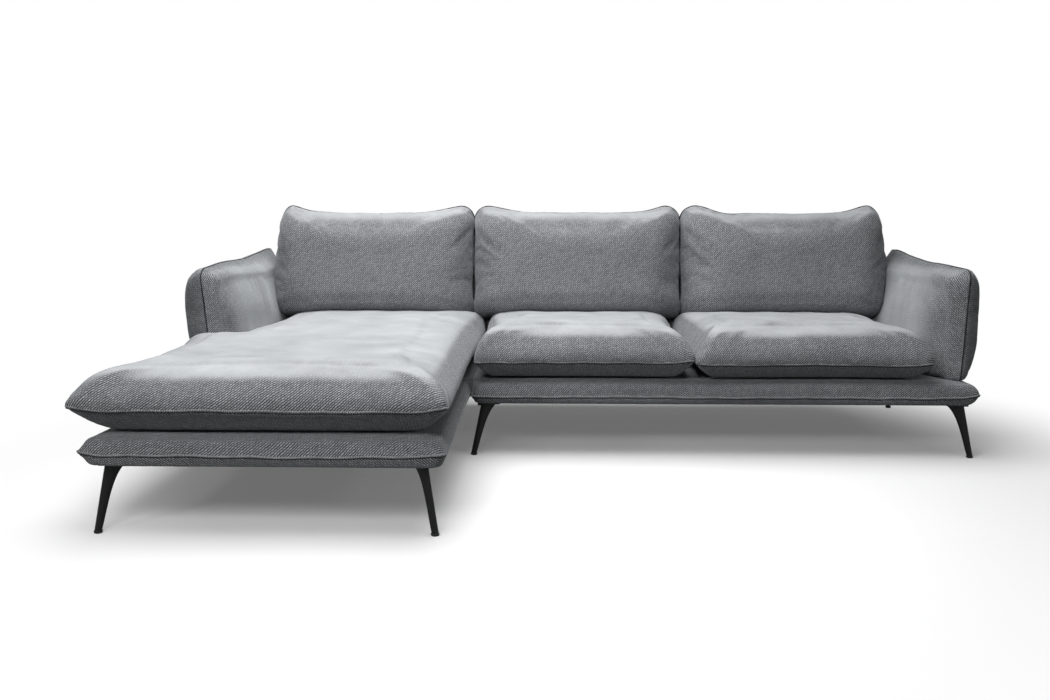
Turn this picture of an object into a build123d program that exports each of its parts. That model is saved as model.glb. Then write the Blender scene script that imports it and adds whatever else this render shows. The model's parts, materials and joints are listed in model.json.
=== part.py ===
from build123d import *
import os
from math import atan2, cos, degrees, radians, sin, sqrt, tan

# Corner sofa in two halves that hook together: a chaise on the left, a two-seater on the right.
# Millimetres, +Z up, +Y to the back. The origin is on the floor under the middle of the sofa.

os.makedirs("parts", exist_ok=True)

# The two halves, measured between the sewn edges of their bases
chaise_width = 977
chaise_depth = 1795
two_seater_width = 1747
two_seater_depth = 940
module_gap = 2
fit_gap = 0.4

# Upholstered base
leg_height = 190
base_height = 80
base_seam_rise = 30
base_wrap = 30
base_deck_wrap = 12
base_corner_radius = 22
base_side_pull = 4
base_under_inset = 26
base_top_inset = 46

# Timber frame and elastic seat straps inside the base
rail_width = 45
rail_height = 56
cross_rail_height = 40
cross_rail_width = 40
corner_block_size = 66
dust_cover_thickness = 1
seat_strap_width = 70
seat_strap_thickness = 2.2
seat_strap_spacing = 118

# Splayed metal legs: inset of each foot along X and Y, and turn of its blade from the X axis
chaise_foot_inset = (30, 30)
two_seater_foot_inset = (4, 43)
chaise_leg_turn = 45
two_seater_leg_turn = 20
leg_splay = 40
leg_plate_size = 74
leg_plate_thickness = 5
leg_screw_along = 18
leg_screw_across = 22
leg_plate_corner = 8
glide_diameter = 23
glide_height = 8
glide_chamfer = 1.6
screw_diameter = 5
screw_head_diameter = 9.5
screw_head_height = 2.7
screw_length = 42
screw_clearance = 0.15

# Seat cushions
cushion_overhang = 15
chaise_cushion_side_overhang = 12
chaise_seat_right_overhang = 8
left_seat_width = 762
seat_gap = 4
seat_seam_rise = 68
seat_crown_rise = 107
seat_corner_radius = 24
seat_side_pull = 9
seat_back_gap = 5
seat_arm_gap = 8
seat_top_inset = 195
seat_bottom_inset = 95
seat_core_floor = 16
seat_core_floor_inset = 90
seat_core_seam_inset = 34
seat_core_shoulder = 54
seat_core_shoulder_inset = 48
seat_core_crown_gap = 22
seat_core_crown_inset = 125

# Arms
arm_foot_inset = 66
arm_front_setback = 50
arm_rear_setback = 15
arm_front_height = 390
arm_rear_height = 426
arm_lean = 3.5
arm_corner_radius = 34
arm_inner_depth = 82
arm_outer_depth = 52
arm_side_pull = 6
arm_inner_inset = 290
arm_outer_inset = 120
arm_trim = 10
arm_board_thickness = 30
arm_board_margin = 75
arm_board_rail = 90

# Backs
back_lean = 12
back_foot_setback = 161
back_height = 392
back_ridge_setback = 39
back_shoulder_drop = 70
back_rear_setback = 8
back_rear_foot_setback = 17
back_rear_cap_setback = 18
back_rear_cap_drop = 27
back_rear_swell_rise = 177
back_board_thickness = 36
back_board_setback = 37
back_board_drop = 26
back_board_rail = 80
webbing_width = 50
webbing_thickness = 2
webbing_spacing = 160
back_arm_lap = 62
back_arm_gap = 1

# Loose back cushions
back_cushion_gap = 16
back_cushion_arm_gap = 78
back_cushion_height = 452
back_cushion_sink = 128
back_cushion_front_depth = 148
back_cushion_rear_depth = 40
back_cushion_corner_radius = 60
back_cushion_side_pull = 12
back_cushion_front_inset = 165
back_cushion_rear_inset = 48
back_core_arm_wall = 30
back_core_rear_gap = 14
back_core_rear_inset = 66
back_core_seam_inset = 46
back_core_shoulder = 81
back_core_shoulder_inset = 52
back_core_front_gap = 30
back_core_front_inset = 90

# Frame bolts and the hooks between the halves
bolt_diameter = 8
bolt_head_diameter = 15
bolt_head_height = 5
bolt_reach = 60
bolt_clearance = 0.5
back_bolt_spacing = 500
back_bolt_setback = 260
hook_plate_length = 150
hook_plate_width = 60
hook_plate_thickness = 4
hook_tongue_width = 40
hook_tongue_thickness = 4
hook_tongue_height = 26
hook_setback = 180
receiver_length = 80
receiver_width = 32
receiver_thickness = 3
hook_clearance = 1

# Levels shared by both halves
deck_z = leg_height + base_height
rail_bottom_z = leg_height + dust_cover_thickness
rail_top_z = rail_bottom_z + rail_height
base_roof_z = deck_z - base_deck_wrap
strap_top_z = rail_top_z + seat_strap_thickness
felt_top_z = base_roof_z - fit_gap
seat_bottom_z = deck_z + fit_gap
seat_seam_z = seat_bottom_z + seat_seam_rise

# Plan lines
left_x = -(chaise_width + module_gap + two_seater_width) / 2
right_x = -left_x
chaise_right_x = left_x + chaise_width
two_seater_left_x = chaise_right_x + module_gap
rear_y = (chaise_depth + cushion_overhang) / 2
chaise_front_y = rear_y - chaise_depth
two_seater_front_y = rear_y - two_seater_depth
arm_front_y = two_seater_front_y + arm_front_setback
arm_rear_y = rear_y - arm_rear_setback
arm_foot_x = right_x - arm_foot_inset
back_foot_y = rear_y - back_foot_setback
seat_side_x = arm_foot_x - arm_inner_depth - seat_arm_gap
seat_rear_y = back_foot_y + seat_seam_rise * tan(radians(back_lean)) - seat_back_gap
chaise_seat_right_x = chaise_right_x + chaise_seat_right_overhang
left_seat_left_x = chaise_seat_right_x + seat_gap
left_seat_right_x = left_seat_left_x + left_seat_width
right_seat_left_x = left_seat_right_x + seat_gap
seat_front_y = two_seater_front_y - cushion_overhang
chaise_seat_front_y = chaise_front_y - cushion_overhang

modules = {
    "chaise": (left_x, chaise_right_x, chaise_front_y),
    "two_seater": (two_seater_left_x, right_x, two_seater_front_y),
}

# Share of the full depth and of the full inset at each step of a stuffed half
crown_steps = [(0, 0), (0.26, 0.025), (0.54, 0.12), (0.78, 0.33), (0.93, 0.63), (1, 1)]
shallow_steps = [(0, 0), (0.44, 0.14), (0.81, 0.48), (1, 1)]
wedge_steps = [(0, 0), (0.22, 0.2), (0.6, 0.52), (1, 1)]
edge_steps = [(0, 0), (0.32, 0.15), (0.68, 0.46), (1, 1)]
arm_inner_steps = [(0, 0), (0.3, 0.13), (0.59, 0.4), (0.79, 0.66), (1, 1)]
arm_outer_steps = [(0, 0), (0.4, 0.09), (0.74, 0.34), (1, 1)]
# Share of the side pull that is lost towards the flat
pull_fade = 0.8


def save(piece, name):
    piece.part.label = name
    export_step(piece.part, f"parts/{name}.step")


def block(x_span, y_span, z_span, mode=Mode.ADD):
    """A box between two planes along each axis."""
    spans = (x_span, y_span, z_span)
    with Locations(tuple((low + high) / 2 for low, high in spans)):
        Box(*(high - low for low, high in spans), mode=mode)


def drill(spots, radius, z_span):
    """Vertical holes at the given plan points."""
    low, high = z_span
    with Locations(*((x, y, (low + high) / 2) for x, y in spots)):
        Cylinder(radius, high - low, mode=Mode.SUBTRACT)


def rectangle(x_span, y_span):
    """Corners in order, counter-clockwise from the low ones."""
    (x0, x1), (y0, y1) = x_span, y_span
    return [(x0, y0), (x1, y0), (x1, y1), (x0, y1)]


def drawn_in(corners, insets):
    """The outline with each edge moved inwards by its own inset."""
    points = [Vector(*corner) for corner in corners]
    count = len(points)
    inward = []
    for i in range(count):
        run = (points[(i + 1) % count] - points[i]).normalized()
        inward.append(Vector(-run.Y, run.X))
    return [points[i] + inward[i - 1] * insets[i - 1] + inward[i] * insets[i] for i in range(count)]


def soft_section(plane, points, radius, pull):
    """A face with rounded corners and sides that pull in between them."""
    count = len(points)
    runs = [(points[(i + 1) % count] - points[i]).normalized() for i in range(count)]
    with BuildSketch(plane) as face:
        with BuildLine():
            for i in range(count):
                come, leave = runs[i - 1], runs[i]
                start = points[i] - come * radius
                end = points[i] + leave * radius
                middle = points[i] + (leave - come) * radius * (1 - 1 / sqrt(2))
                ThreePointArc(start, middle, end)
                far = points[(i + 1) % count] - leave * radius
                inward = Vector(-leave.Y, leave.X)
                ThreePointArc(end, (end + far) * 0.5 + inward * pull, far)
        make_face()
    return face.sketch


def stuffed_half(plane, corners, radius, pull, depth, inset, steps, weights=None, mode=Mode.ADD):
    """Loft from the seam in the plane to a flat that lies depth away and inset from the seam."""
    weights = weights or [1] * len(corners)
    sections = []
    for depth_share, inset_share in steps:
        insets = [inset * inset_share * weight for weight in weights]
        points = drawn_in(corners, insets)
        side_pull = pull * (1 - pull_fade * depth_share)
        sections.append(soft_section(plane.offset(depth * depth_share), points, radius, side_pull))
    loft(sections=sections, mode=mode)


def plain_block(plane, corners, radius, spans, mode=Mode.ADD):
    """Straight-sided foam block: spans hold (offset from the seam, inset)."""
    sections = []
    for offset, inset in spans:
        points = drawn_in(corners, [inset] * len(corners))
        sections.append(soft_section(plane.offset(offset), points, radius, fit_gap))
    loft(sections=sections, ruled=True, mode=mode)


# Legs: where each foot stands and which way its blade points inwards
leg_stances = {
    "chaise": (chaise_foot_inset, radians(chaise_leg_turn)),
    "two_seater": (two_seater_foot_inset, radians(two_seater_leg_turn)),
}
leg_spots = {}
for module, (x0, x1, y0) in modules.items():
    (inset_x, inset_y), turn = leg_stances[module]
    way_x = cos(turn)
    way_y = sin(turn)
    leg_spots[f"{module}_leg_front_left"] = (x0 + inset_x, y0 + inset_y, way_x, way_y)
    leg_spots[f"{module}_leg_front_right"] = (x1 - inset_x, y0 + inset_y, -way_x, way_y)
    leg_spots[f"{module}_leg_rear_left"] = (x0 + inset_x, rear_y - inset_y, way_x, -way_y)
    leg_spots[f"{module}_leg_rear_right"] = (x1 - inset_x, rear_y - inset_y, -way_x, -way_y)

# Blade section from the foot up: share of the height, width along the splay, thickness
leg_sections = [
    (0, 19.5, 19.5),
    (0.24, 23.5, 19),
    (0.49, 27.5, 18.5),
    (0.71, 34, 18.5),
    (0.86, 43, 20),
    (1, 62, 26),
]
leg_foot_width = leg_sections[0][1]
leg_top_width = leg_sections[-1][1]
plate_bottom_z = leg_height - leg_plate_thickness
plate_shift = leg_splay + (leg_top_width - leg_foot_width) / 2


def plate_screw_spots(name):
    """Four screws beside the blade, two on each side of it."""
    foot_x, foot_y, way_x, way_y = leg_spots[name]
    spots = []
    for along in (plate_shift - leg_screw_along, plate_shift + leg_screw_along):
        for across in (-leg_screw_across, leg_screw_across):
            shift_x = way_x * along - way_y * across
            shift_y = way_y * along + way_x * across
            spots.append((foot_x + shift_x, foot_y + shift_y))
    return spots


def leg_screw_spots(module):
    return [spot for name in leg_spots if name.startswith(module) for spot in plate_screw_spots(name)]


def leg_form(turn):
    """A leg with its foot at the origin, its blade along +X and its plate turned back to the base's sides."""
    with BuildPart() as form:
        sections = []
        for share, width, thickness in leg_sections:
            z = glide_height + share * (plate_bottom_z - glide_height)
            outer_edge = leg_splay * z / plate_bottom_z - leg_foot_width / 2
            with BuildSketch(Plane.XY.offset(z)) as blade:
                with Locations((outer_edge + width / 2, 0)):
                    Ellipse(width / 2, thickness / 2)
            sections.append(blade.sketch)
        loft(sections=sections)
        with BuildSketch(Plane.XY.offset(plate_bottom_z)) as plate:
            with Locations(Location((plate_shift, 0), -turn)):
                RectangleRounded(leg_plate_size, leg_plate_size, leg_plate_corner)
        extrude(plate.sketch, amount=leg_plate_thickness)
        spots = [
            (plate_shift + i * leg_screw_along, j * leg_screw_across) for i in (-1, 1) for j in (-1, 1)
        ]
        drill(spots, screw_diameter / 2 + screw_clearance, (plate_bottom_z, leg_height))
        head_z = (plate_bottom_z, plate_bottom_z + screw_head_height + screw_clearance)
        drill(spots, screw_head_diameter / 2 + screw_clearance, head_z)
    return form.part


for name, (foot_x, foot_y, way_x, way_y) in leg_spots.items():
    turn = degrees(atan2(way_y, way_x))
    with BuildPart() as leg:
        add(leg_form(turn).moved(Location((foot_x, foot_y, 0), (0, 0, turn))))
    save(leg, name)

for module in modules:
    with BuildPart() as glides:
        for name, (foot_x, foot_y, way_x, way_y) in leg_spots.items():
            if name.startswith(module):
                lean_in = leg_splay * glide_height / plate_bottom_z
                with BuildSketch():
                    with Locations((foot_x + way_x * lean_in, foot_y + way_y * lean_in)):
                        Circle(glide_diameter / 2)
                extrude(amount=glide_height)
        rims = glides.edges().filter_by(GeomType.CIRCLE)
        chamfer(rims, glide_chamfer)
    save(glides, f"{module}_leg_glides")

# Hooks: two tongues on the chaise stand up into slots under the two-seater
tongue_x = two_seater_left_x + base_wrap + rail_width / 2
hook_spots = [two_seater_front_y + hook_setback, rear_y - hook_setback]
hook_x_span = (tongue_x + hook_plate_width / 2 - hook_plate_length, tongue_x + hook_plate_width / 2)
hook_screw_x = chaise_right_x - base_wrap - rail_width / 2
receiver_screw_shift = (receiver_length + hook_tongue_width) / 4


def hook_y_span(spot, width):
    return spot - width / 2, spot + width / 2


hook_screw_spots = [(hook_screw_x, y + s * hook_plate_width / 4) for y in hook_spots for s in (-1, 1)]
receiver_screw_spots = [(tongue_x, y + s * receiver_screw_shift) for y in hook_spots for s in (-1, 1)]
extra_screws = {"chaise": hook_screw_spots, "two_seater": receiver_screw_spots}
screw_seat_z = {"chaise": leg_height - hook_plate_thickness, "two_seater": rail_bottom_z}

# Frame bolts: arms and backs are bolted down through the rails
side_bolt_x = arm_foot_x
arm_bolt_y = [arm_front_y + arm_board_margin + arm_board_rail, back_foot_y - arm_board_rail]
rear_bolt_y = rear_y - back_board_setback - back_board_thickness / 2
bolt_spots = {
    "chaise": [(-side_bolt_x, y) for y in arm_bolt_y],
    "two_seater": [(side_bolt_x, y) for y in arm_bolt_y],
}
back_bolt_spans = {
    "chaise": (-arm_foot_x + back_bolt_setback, chaise_right_x - back_bolt_setback),
    "two_seater": (two_seater_left_x + back_bolt_setback, arm_foot_x - back_bolt_setback),
}
for module, (first_x, last_x) in back_bolt_spans.items():
    steps = max(1, round((last_x - first_x) / back_bolt_spacing))
    for i in range(steps + 1):
        bolt_spots[module].append((first_x + (last_x - first_x) * i / steps, rear_bolt_y))
bolt_top_z = deck_z + bolt_reach

# Base of each half: padded cover, timber frame, straps, felt and dust cover
for module, (x0, x1, y0) in modules.items():
    frame_x = (x0 + base_wrap, x1 - base_wrap)
    frame_y = (y0 + base_wrap, rear_y - base_wrap)
    inner_x = (frame_x[0] + rail_width, frame_x[1] - rail_width)
    inner_y = (frame_y[0] + rail_width, frame_y[1] - rail_width)
    rail_z = (rail_bottom_z, rail_top_z)
    seam_plane = Plane.XY.offset(leg_height + base_seam_rise)
    corners = rectangle((x0, x1), (y0, rear_y))
    screw_top_z = screw_seat_z[module] + screw_length
    all_screws = leg_screw_spots(module) + extra_screws[module]
    screw_hole = screw_diameter / 2 + screw_clearance
    bolt_hole = bolt_diameter / 2 + bolt_clearance
    head_hole = bolt_head_diameter / 2 + bolt_clearance
    bolt_head_z = (rail_bottom_z, rail_bottom_z + bolt_head_height + fit_gap)
    hook_cut_half = receiver_width / 2 + hook_clearance
    hook_cut_x = (tongue_x - hook_cut_half, tongue_x + hook_cut_half)

    with BuildPart() as base_cover:
        stuffed_half(
            seam_plane, corners, base_corner_radius, base_side_pull,
            base_height - base_seam_rise, base_top_inset, edge_steps,
        )
        stuffed_half(
            seam_plane, corners, base_corner_radius, base_side_pull,
            -base_seam_rise, base_under_inset, edge_steps,
        )
        block(
            (frame_x[0] - fit_gap, frame_x[1] + fit_gap),
            (frame_y[0] - fit_gap, frame_y[1] + fit_gap),
            (leg_height, base_roof_z),
            mode=Mode.SUBTRACT,
        )
        drill(bolt_spots[module], bolt_hole, (base_roof_z, deck_z))
    save(base_cover, f"{module}_base_cover")

    rails = {
        "front_rail": (frame_x, (frame_y[0], inner_y[0])),
        "rear_rail": (frame_x, (inner_y[1], frame_y[1])),
        "left_rail": ((frame_x[0], inner_x[0]), inner_y),
        "right_rail": ((inner_x[1], frame_x[1]), inner_y),
    }
    for rail_name, (x_span, y_span) in rails.items():
        with BuildPart() as rail:
            block(x_span, y_span, rail_z)
            drill(all_screws, screw_hole, (rail_bottom_z, screw_seat_z[module] + screw_length + fit_gap))
            drill(bolt_spots[module], bolt_hole, rail_z)
            drill(bolt_spots[module], head_hole, bolt_head_z)
            if module == "two_seater":
                for spot in hook_spots:
                    block(
                        hook_cut_x,
                        hook_y_span(spot, receiver_length + 2 * hook_clearance),
                        (rail_bottom_z, rail_bottom_z + receiver_thickness + fit_gap),
                        mode=Mode.SUBTRACT,
                    )
                    block(
                        (
                            tongue_x - hook_tongue_thickness / 2 - hook_clearance,
                            tongue_x + hook_tongue_thickness / 2 + hook_clearance,
                        ),
                        hook_y_span(spot, hook_tongue_width + 2 * hook_clearance),
                        (rail_bottom_z, leg_height + hook_tongue_height + hook_clearance),
                        mode=Mode.SUBTRACT,
                    )
        save(rail, f"{module}_{rail_name}")

    cross_z = (rail_bottom_z, rail_bottom_z + cross_rail_height)
    with BuildPart() as cross_rails:
        if module == "chaise":
            for share in (1 / 3, 2 / 3):
                y = inner_y[0] + (inner_y[1] - inner_y[0]) * share
                block(inner_x, (y - cross_rail_width / 2, y + cross_rail_width / 2), cross_z)
        else:
            for share in (1 / 3, 2 / 3):
                x = inner_x[0] + (inner_x[1] - inner_x[0]) * share
                block((x - cross_rail_width / 2, x + cross_rail_width / 2), inner_y, cross_z)
    save(cross_rails, f"{module}_cross_rails")

    with BuildPart() as corner_blocks:
        for x_spot, x_way in ((inner_x[0], 1), (inner_x[1], -1)):
            for y_spot, y_way in ((inner_y[0], 1), (inner_y[1], -1)):
                with BuildSketch(Plane.XY.offset(rail_bottom_z)):
                    with BuildLine():
                        Polyline(
                            (x_spot, y_spot),
                            (x_spot + x_way * corner_block_size, y_spot),
                            (x_spot + x_way * corner_block_size, y_spot + y_way * corner_block_size / 2),
                            (x_spot + x_way * corner_block_size / 2, y_spot + y_way * corner_block_size),
                            (x_spot, y_spot + y_way * corner_block_size),
                            close=True,
                        )
                    make_face()
                extrude(amount=rail_height)
        drill(all_screws, screw_hole, (rail_bottom_z, screw_top_z + fit_gap))
    save(corner_blocks, f"{module}_corner_blocks")

    # Elastic straps cross the chaise from side to side and the two-seater from front to back
    row = inner_y if module == "chaise" else inner_x
    strap_count = int((row[1] - row[0]) / seat_strap_spacing)
    strap_step = (row[1] - row[0]) / strap_count
    strap_z = (rail_top_z, strap_top_z)
    with BuildPart() as seat_straps:
        for i in range(strap_count):
            middle = row[0] + strap_step * (i + 0.5)
            span = (middle - seat_strap_width / 2, middle + seat_strap_width / 2)
            if module == "chaise":
                block(frame_x, span, strap_z)
            else:
                block(span, frame_y, strap_z)
        drill(bolt_spots[module], bolt_hole, strap_z)
    save(seat_straps, f"{module}_seat_straps")

    with BuildPart() as felt:
        block(frame_x, frame_y, (strap_top_z, felt_top_z))
        drill(bolt_spots[module], bolt_hole, (strap_top_z, felt_top_z))
    save(felt, f"{module}_deck_felt")

    with BuildPart() as dust_cover:
        block(frame_x, frame_y, (leg_height, rail_bottom_z))
        drill(all_screws, screw_head_diameter / 2 + screw_clearance, (leg_height, rail_bottom_z))
        if module == "two_seater":
            for spot in hook_spots:
                block(
                    hook_cut_x,
                    hook_y_span(spot, receiver_length + 2 * hook_clearance),
                    (leg_height, rail_bottom_z),
                    mode=Mode.SUBTRACT,
                )
    save(dust_cover, f"{module}_dust_cover")

    # Countersunk screws: legs and hook plates from below, receivers inside their slots
    seats = [(x, y, plate_bottom_z) for x, y in leg_screw_spots(module)]
    seats += [(x, y, screw_seat_z[module]) for x, y in extra_screws[module]]
    with BuildPart() as screws:
        for x, y, z in seats:
            head_top_z = z + screw_head_height
            length = screw_seat_z[module] + screw_length - head_top_z
            with Locations((x, y, z + screw_head_height / 2)):
                Cylinder(screw_head_diameter / 2, screw_head_height)
            with Locations((x, y, head_top_z + length / 2)):
                Cylinder(screw_diameter / 2, length)
    save(screws, f"{module}_wood_screws")

    with BuildPart() as bolts:
        for x, y in bolt_spots[module]:
            with Locations((x, y, rail_bottom_z + bolt_head_height / 2)):
                Cylinder(bolt_head_diameter / 2, bolt_head_height)
            shank_bottom_z = rail_bottom_z + bolt_head_height
            with Locations((x, y, (shank_bottom_z + bolt_top_z) / 2)):
                Cylinder(bolt_diameter / 2, bolt_top_z - shank_bottom_z)
    save(bolts, f"{module}_frame_bolts")

hook_bottom_z = leg_height - hook_plate_thickness
with BuildPart() as connector_hooks:
    for spot in hook_spots:
        block(hook_x_span, hook_y_span(spot, hook_plate_width), (hook_bottom_z, leg_height))
        block(
            (tongue_x - hook_tongue_thickness / 2, tongue_x + hook_tongue_thickness / 2),
            hook_y_span(spot, hook_tongue_width),
            (leg_height, leg_height + hook_tongue_height),
        )
    drill(hook_screw_spots, screw_diameter / 2 + screw_clearance, (hook_bottom_z, leg_height))
    head_z = (hook_bottom_z, hook_bottom_z + screw_head_height + screw_clearance)
    drill(hook_screw_spots, screw_head_diameter / 2 + screw_clearance, head_z)
save(connector_hooks, "connector_hooks")

with BuildPart() as connector_receivers:
    plate_z = (rail_bottom_z, rail_bottom_z + receiver_thickness)
    for spot in hook_spots:
        block(
            (tongue_x - receiver_width / 2, tongue_x + receiver_width / 2),
            hook_y_span(spot, receiver_length),
            plate_z,
        )
        block(
            (
                tongue_x - hook_tongue_thickness / 2 - hook_clearance,
                tongue_x + hook_tongue_thickness / 2 + hook_clearance,
            ),
            hook_y_span(spot, hook_tongue_width + 2 * hook_clearance),
            plate_z,
            mode=Mode.SUBTRACT,
        )
    drill(receiver_screw_spots, screw_diameter / 2 + screw_clearance, plate_z)
    head_z = (rail_bottom_z, rail_bottom_z + screw_head_height + screw_clearance)
    drill(receiver_screw_spots, screw_head_diameter / 2 + screw_clearance, head_z)
save(connector_receivers, "connector_receivers")

# Arms: a board frame inside a stuffed cover with a knife-edge seam over the top and down the front
lean = radians(arm_lean)
arm_plane = Plane(
    origin=(arm_foot_x, 0, deck_z + fit_gap),
    x_dir=(0, 1, 0),
    z_dir=(cos(lean), 0, -sin(lean)),
)
arm_below = arm_outer_depth * tan(lean) + arm_trim
arm_corners = [
    (arm_front_y, -arm_below),
    (arm_rear_y, -arm_below),
    (arm_rear_y, arm_rear_height),
    (arm_front_y, arm_front_height),
]
# Edges in order: foot, rear, ridge, front
arm_inner_weights = (0, 0.2, 1, 0.5)
arm_outer_weights = (0.6, 0.4, 1, 0.7)
board_top_y = arm_front_height - arm_board_margin
board_y_span = (arm_front_y + arm_board_margin, arm_rear_y - arm_board_margin)

with BuildPart() as right_arm_frame:
    with BuildSketch(Plane.YZ.offset(arm_foot_x - arm_board_thickness / 2)):
        with BuildLine():
            Polyline(
                (board_y_span[0], deck_z + fit_gap),
                (board_y_span[1], deck_z + fit_gap),
                (board_y_span[1], deck_z + fit_gap + board_top_y),
                (board_y_span[0], deck_z + fit_gap + board_top_y),
                close=True,
            )
        make_face()
    extrude(amount=arm_board_thickness)
    block(
        (arm_foot_x - arm_board_thickness / 2, arm_foot_x + arm_board_thickness / 2),
        (board_y_span[0] + arm_board_rail, board_y_span[1] - arm_board_rail),
        (deck_z + arm_board_rail, deck_z + board_top_y - arm_board_rail),
        mode=Mode.SUBTRACT,
    )
    drill(
        [(arm_foot_x, y) for y in arm_bolt_y],
        bolt_diameter / 2 + bolt_clearance,
        (deck_z, bolt_top_z + fit_gap),
    )
save(right_arm_frame, "two_seater_arm_frame")

with BuildPart() as right_arm_cover:
    stuffed_half(
        arm_plane, arm_corners, arm_corner_radius, arm_side_pull,
        arm_outer_depth, arm_outer_inset, arm_outer_steps, arm_outer_weights,
    )
    stuffed_half(
        arm_plane, arm_corners, arm_corner_radius, arm_side_pull,
        -arm_inner_depth, arm_inner_inset, arm_inner_steps, arm_inner_weights,
    )
    split(bisect_by=Plane.XY.offset(deck_z + fit_gap), keep=Keep.TOP)
arm_form = right_arm_cover.part
with BuildPart() as right_arm_shell:
    add(arm_form)
    block(
        (
            arm_foot_x - arm_board_thickness / 2 - fit_gap,
            arm_foot_x + arm_board_thickness / 2 + fit_gap,
        ),
        (board_y_span[0] - fit_gap, board_y_span[1] + fit_gap),
        (deck_z, deck_z + board_top_y + 2 * fit_gap),
        mode=Mode.SUBTRACT,
    )
save(right_arm_shell, "two_seater_arm_cover")

with BuildPart() as left_arm_frame:
    mirror(right_arm_frame.part, about=Plane.YZ)
save(left_arm_frame, "chaise_arm_frame")

with BuildPart() as left_arm_shell:
    mirror(right_arm_shell.part, about=Plane.YZ)
save(left_arm_shell, "chaise_arm_cover")

with BuildPart() as left_arm_form:
    mirror(arm_form, about=Plane.YZ)

# Backs: the front panel leans, the ridge is sewn, and the end is cut to the arm beside it
back_tilt = radians(back_lean)
back_ridge = (rear_y - back_ridge_setback, deck_z + back_height)
shoulder_z = deck_z + back_height - back_shoulder_drop
front_shoulder = (back_foot_y + (shoulder_z - deck_z) * tan(back_tilt), shoulder_z)
rear_shoulder = (rear_y - back_rear_setback, shoulder_z)
rear_cap = (rear_y - back_rear_cap_setback, deck_z + back_height - back_rear_cap_drop)
rear_foot = (rear_y - back_rear_foot_setback, deck_z + fit_gap)
rear_swell = (rear_y - back_rear_setback / 2, deck_z + back_rear_swell_rise)
back_board_y = (
    rear_y - back_board_setback - back_board_thickness,
    rear_y - back_board_setback,
)
back_board_top_z = deck_z + back_height - back_board_drop - back_shoulder_drop / 2
arm_inner_x = arm_foot_x - arm_inner_depth
backs = {
    "chaise": (-(arm_inner_x + back_arm_lap), chaise_right_x, left_arm_form.part, 1),
    "two_seater": (two_seater_left_x, arm_inner_x + back_arm_lap, arm_form, -1),
}
for module, (x0, x1, arm, way) in backs.items():
    if module == "chaise":
        board_x = (-arm_inner_x + base_wrap, x1 - base_wrap)
    else:
        board_x = (x0 + base_wrap, arm_inner_x - base_wrap)
    with BuildPart() as back_cover:
        with BuildSketch(Plane.YZ.offset(x0)):
            with BuildLine():
                foot = (back_foot_y + fit_gap * tan(back_tilt), deck_z + fit_gap)
                Line(foot, front_shoulder)
                TangentArc(front_shoulder, back_ridge, tangent=(sin(back_tilt), cos(back_tilt)))
                ThreePointArc(back_ridge, rear_cap, rear_shoulder)
                ThreePointArc(rear_shoulder, rear_swell, rear_foot)
                Line(rear_foot, foot)
            make_face()
        extrude(amount=x1 - x0)
        add(arm.moved(Location((way * back_arm_gap, 0, 0))), mode=Mode.SUBTRACT)
        block(
            (board_x[0] - fit_gap, board_x[1] + fit_gap),
            (back_board_y[0] - webbing_thickness - 2 * fit_gap, back_board_y[1] + fit_gap),
            (deck_z, back_board_top_z + fit_gap),
            mode=Mode.SUBTRACT,
        )
    save(back_cover, f"{module}_back_cover")

    with BuildPart() as back_frame:
        block(board_x, back_board_y, (deck_z + fit_gap, back_board_top_z))
        block(
            (board_x[0] + back_board_rail, board_x[1] - back_board_rail),
            back_board_y,
            (deck_z + back_board_rail, back_board_top_z - back_board_rail),
            mode=Mode.SUBTRACT,
        )
        drill(bolt_spots[module], bolt_diameter / 2 + bolt_clearance, (deck_z, bolt_top_z + fit_gap))
    save(back_frame, f"{module}_back_frame")

    strap_count = int((board_x[1] - board_x[0]) / webbing_spacing)
    strap_step = (board_x[1] - board_x[0] - 2 * back_board_rail) / strap_count
    strap_z = (deck_z + back_board_rail / 2, back_board_top_z - back_board_rail / 2)
    with BuildPart() as webbing:
        for i in range(strap_count):
            x = board_x[0] + back_board_rail + strap_step * (i + 0.5)
            strap_y = (back_board_y[0] - webbing_thickness - fit_gap, back_board_y[0] - fit_gap)
            block((x - webbing_width / 2, x + webbing_width / 2), strap_y, strap_z)
    save(webbing, f"{module}_back_webbing")

# Seat cushions: foam block inside a cover that is sewn all round to a knife edge
seat_plane = Plane.XY.offset(seat_seam_z)
seat_core_spans = [
    (-seat_seam_rise + seat_core_floor, seat_core_floor_inset),
    (0, seat_core_seam_inset),
    (seat_core_shoulder, seat_core_shoulder_inset),
    (seat_crown_rise - seat_core_crown_gap, seat_core_crown_inset),
]
seat_outlines = {
    "chaise": [
        (left_x - chaise_cushion_side_overhang, chaise_seat_front_y),
        (chaise_seat_right_x, chaise_seat_front_y),
        (chaise_seat_right_x, seat_rear_y),
        (-seat_side_x, seat_rear_y),
        (-seat_side_x, arm_front_y - seat_arm_gap),
        (left_x - chaise_cushion_side_overhang, arm_front_y - seat_arm_gap),
    ],
    "left": rectangle((left_seat_left_x, left_seat_right_x), (seat_front_y, seat_rear_y)),
    "right": rectangle((right_seat_left_x, seat_side_x), (seat_front_y, seat_rear_y)),
}
seat_forms = {}
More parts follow.
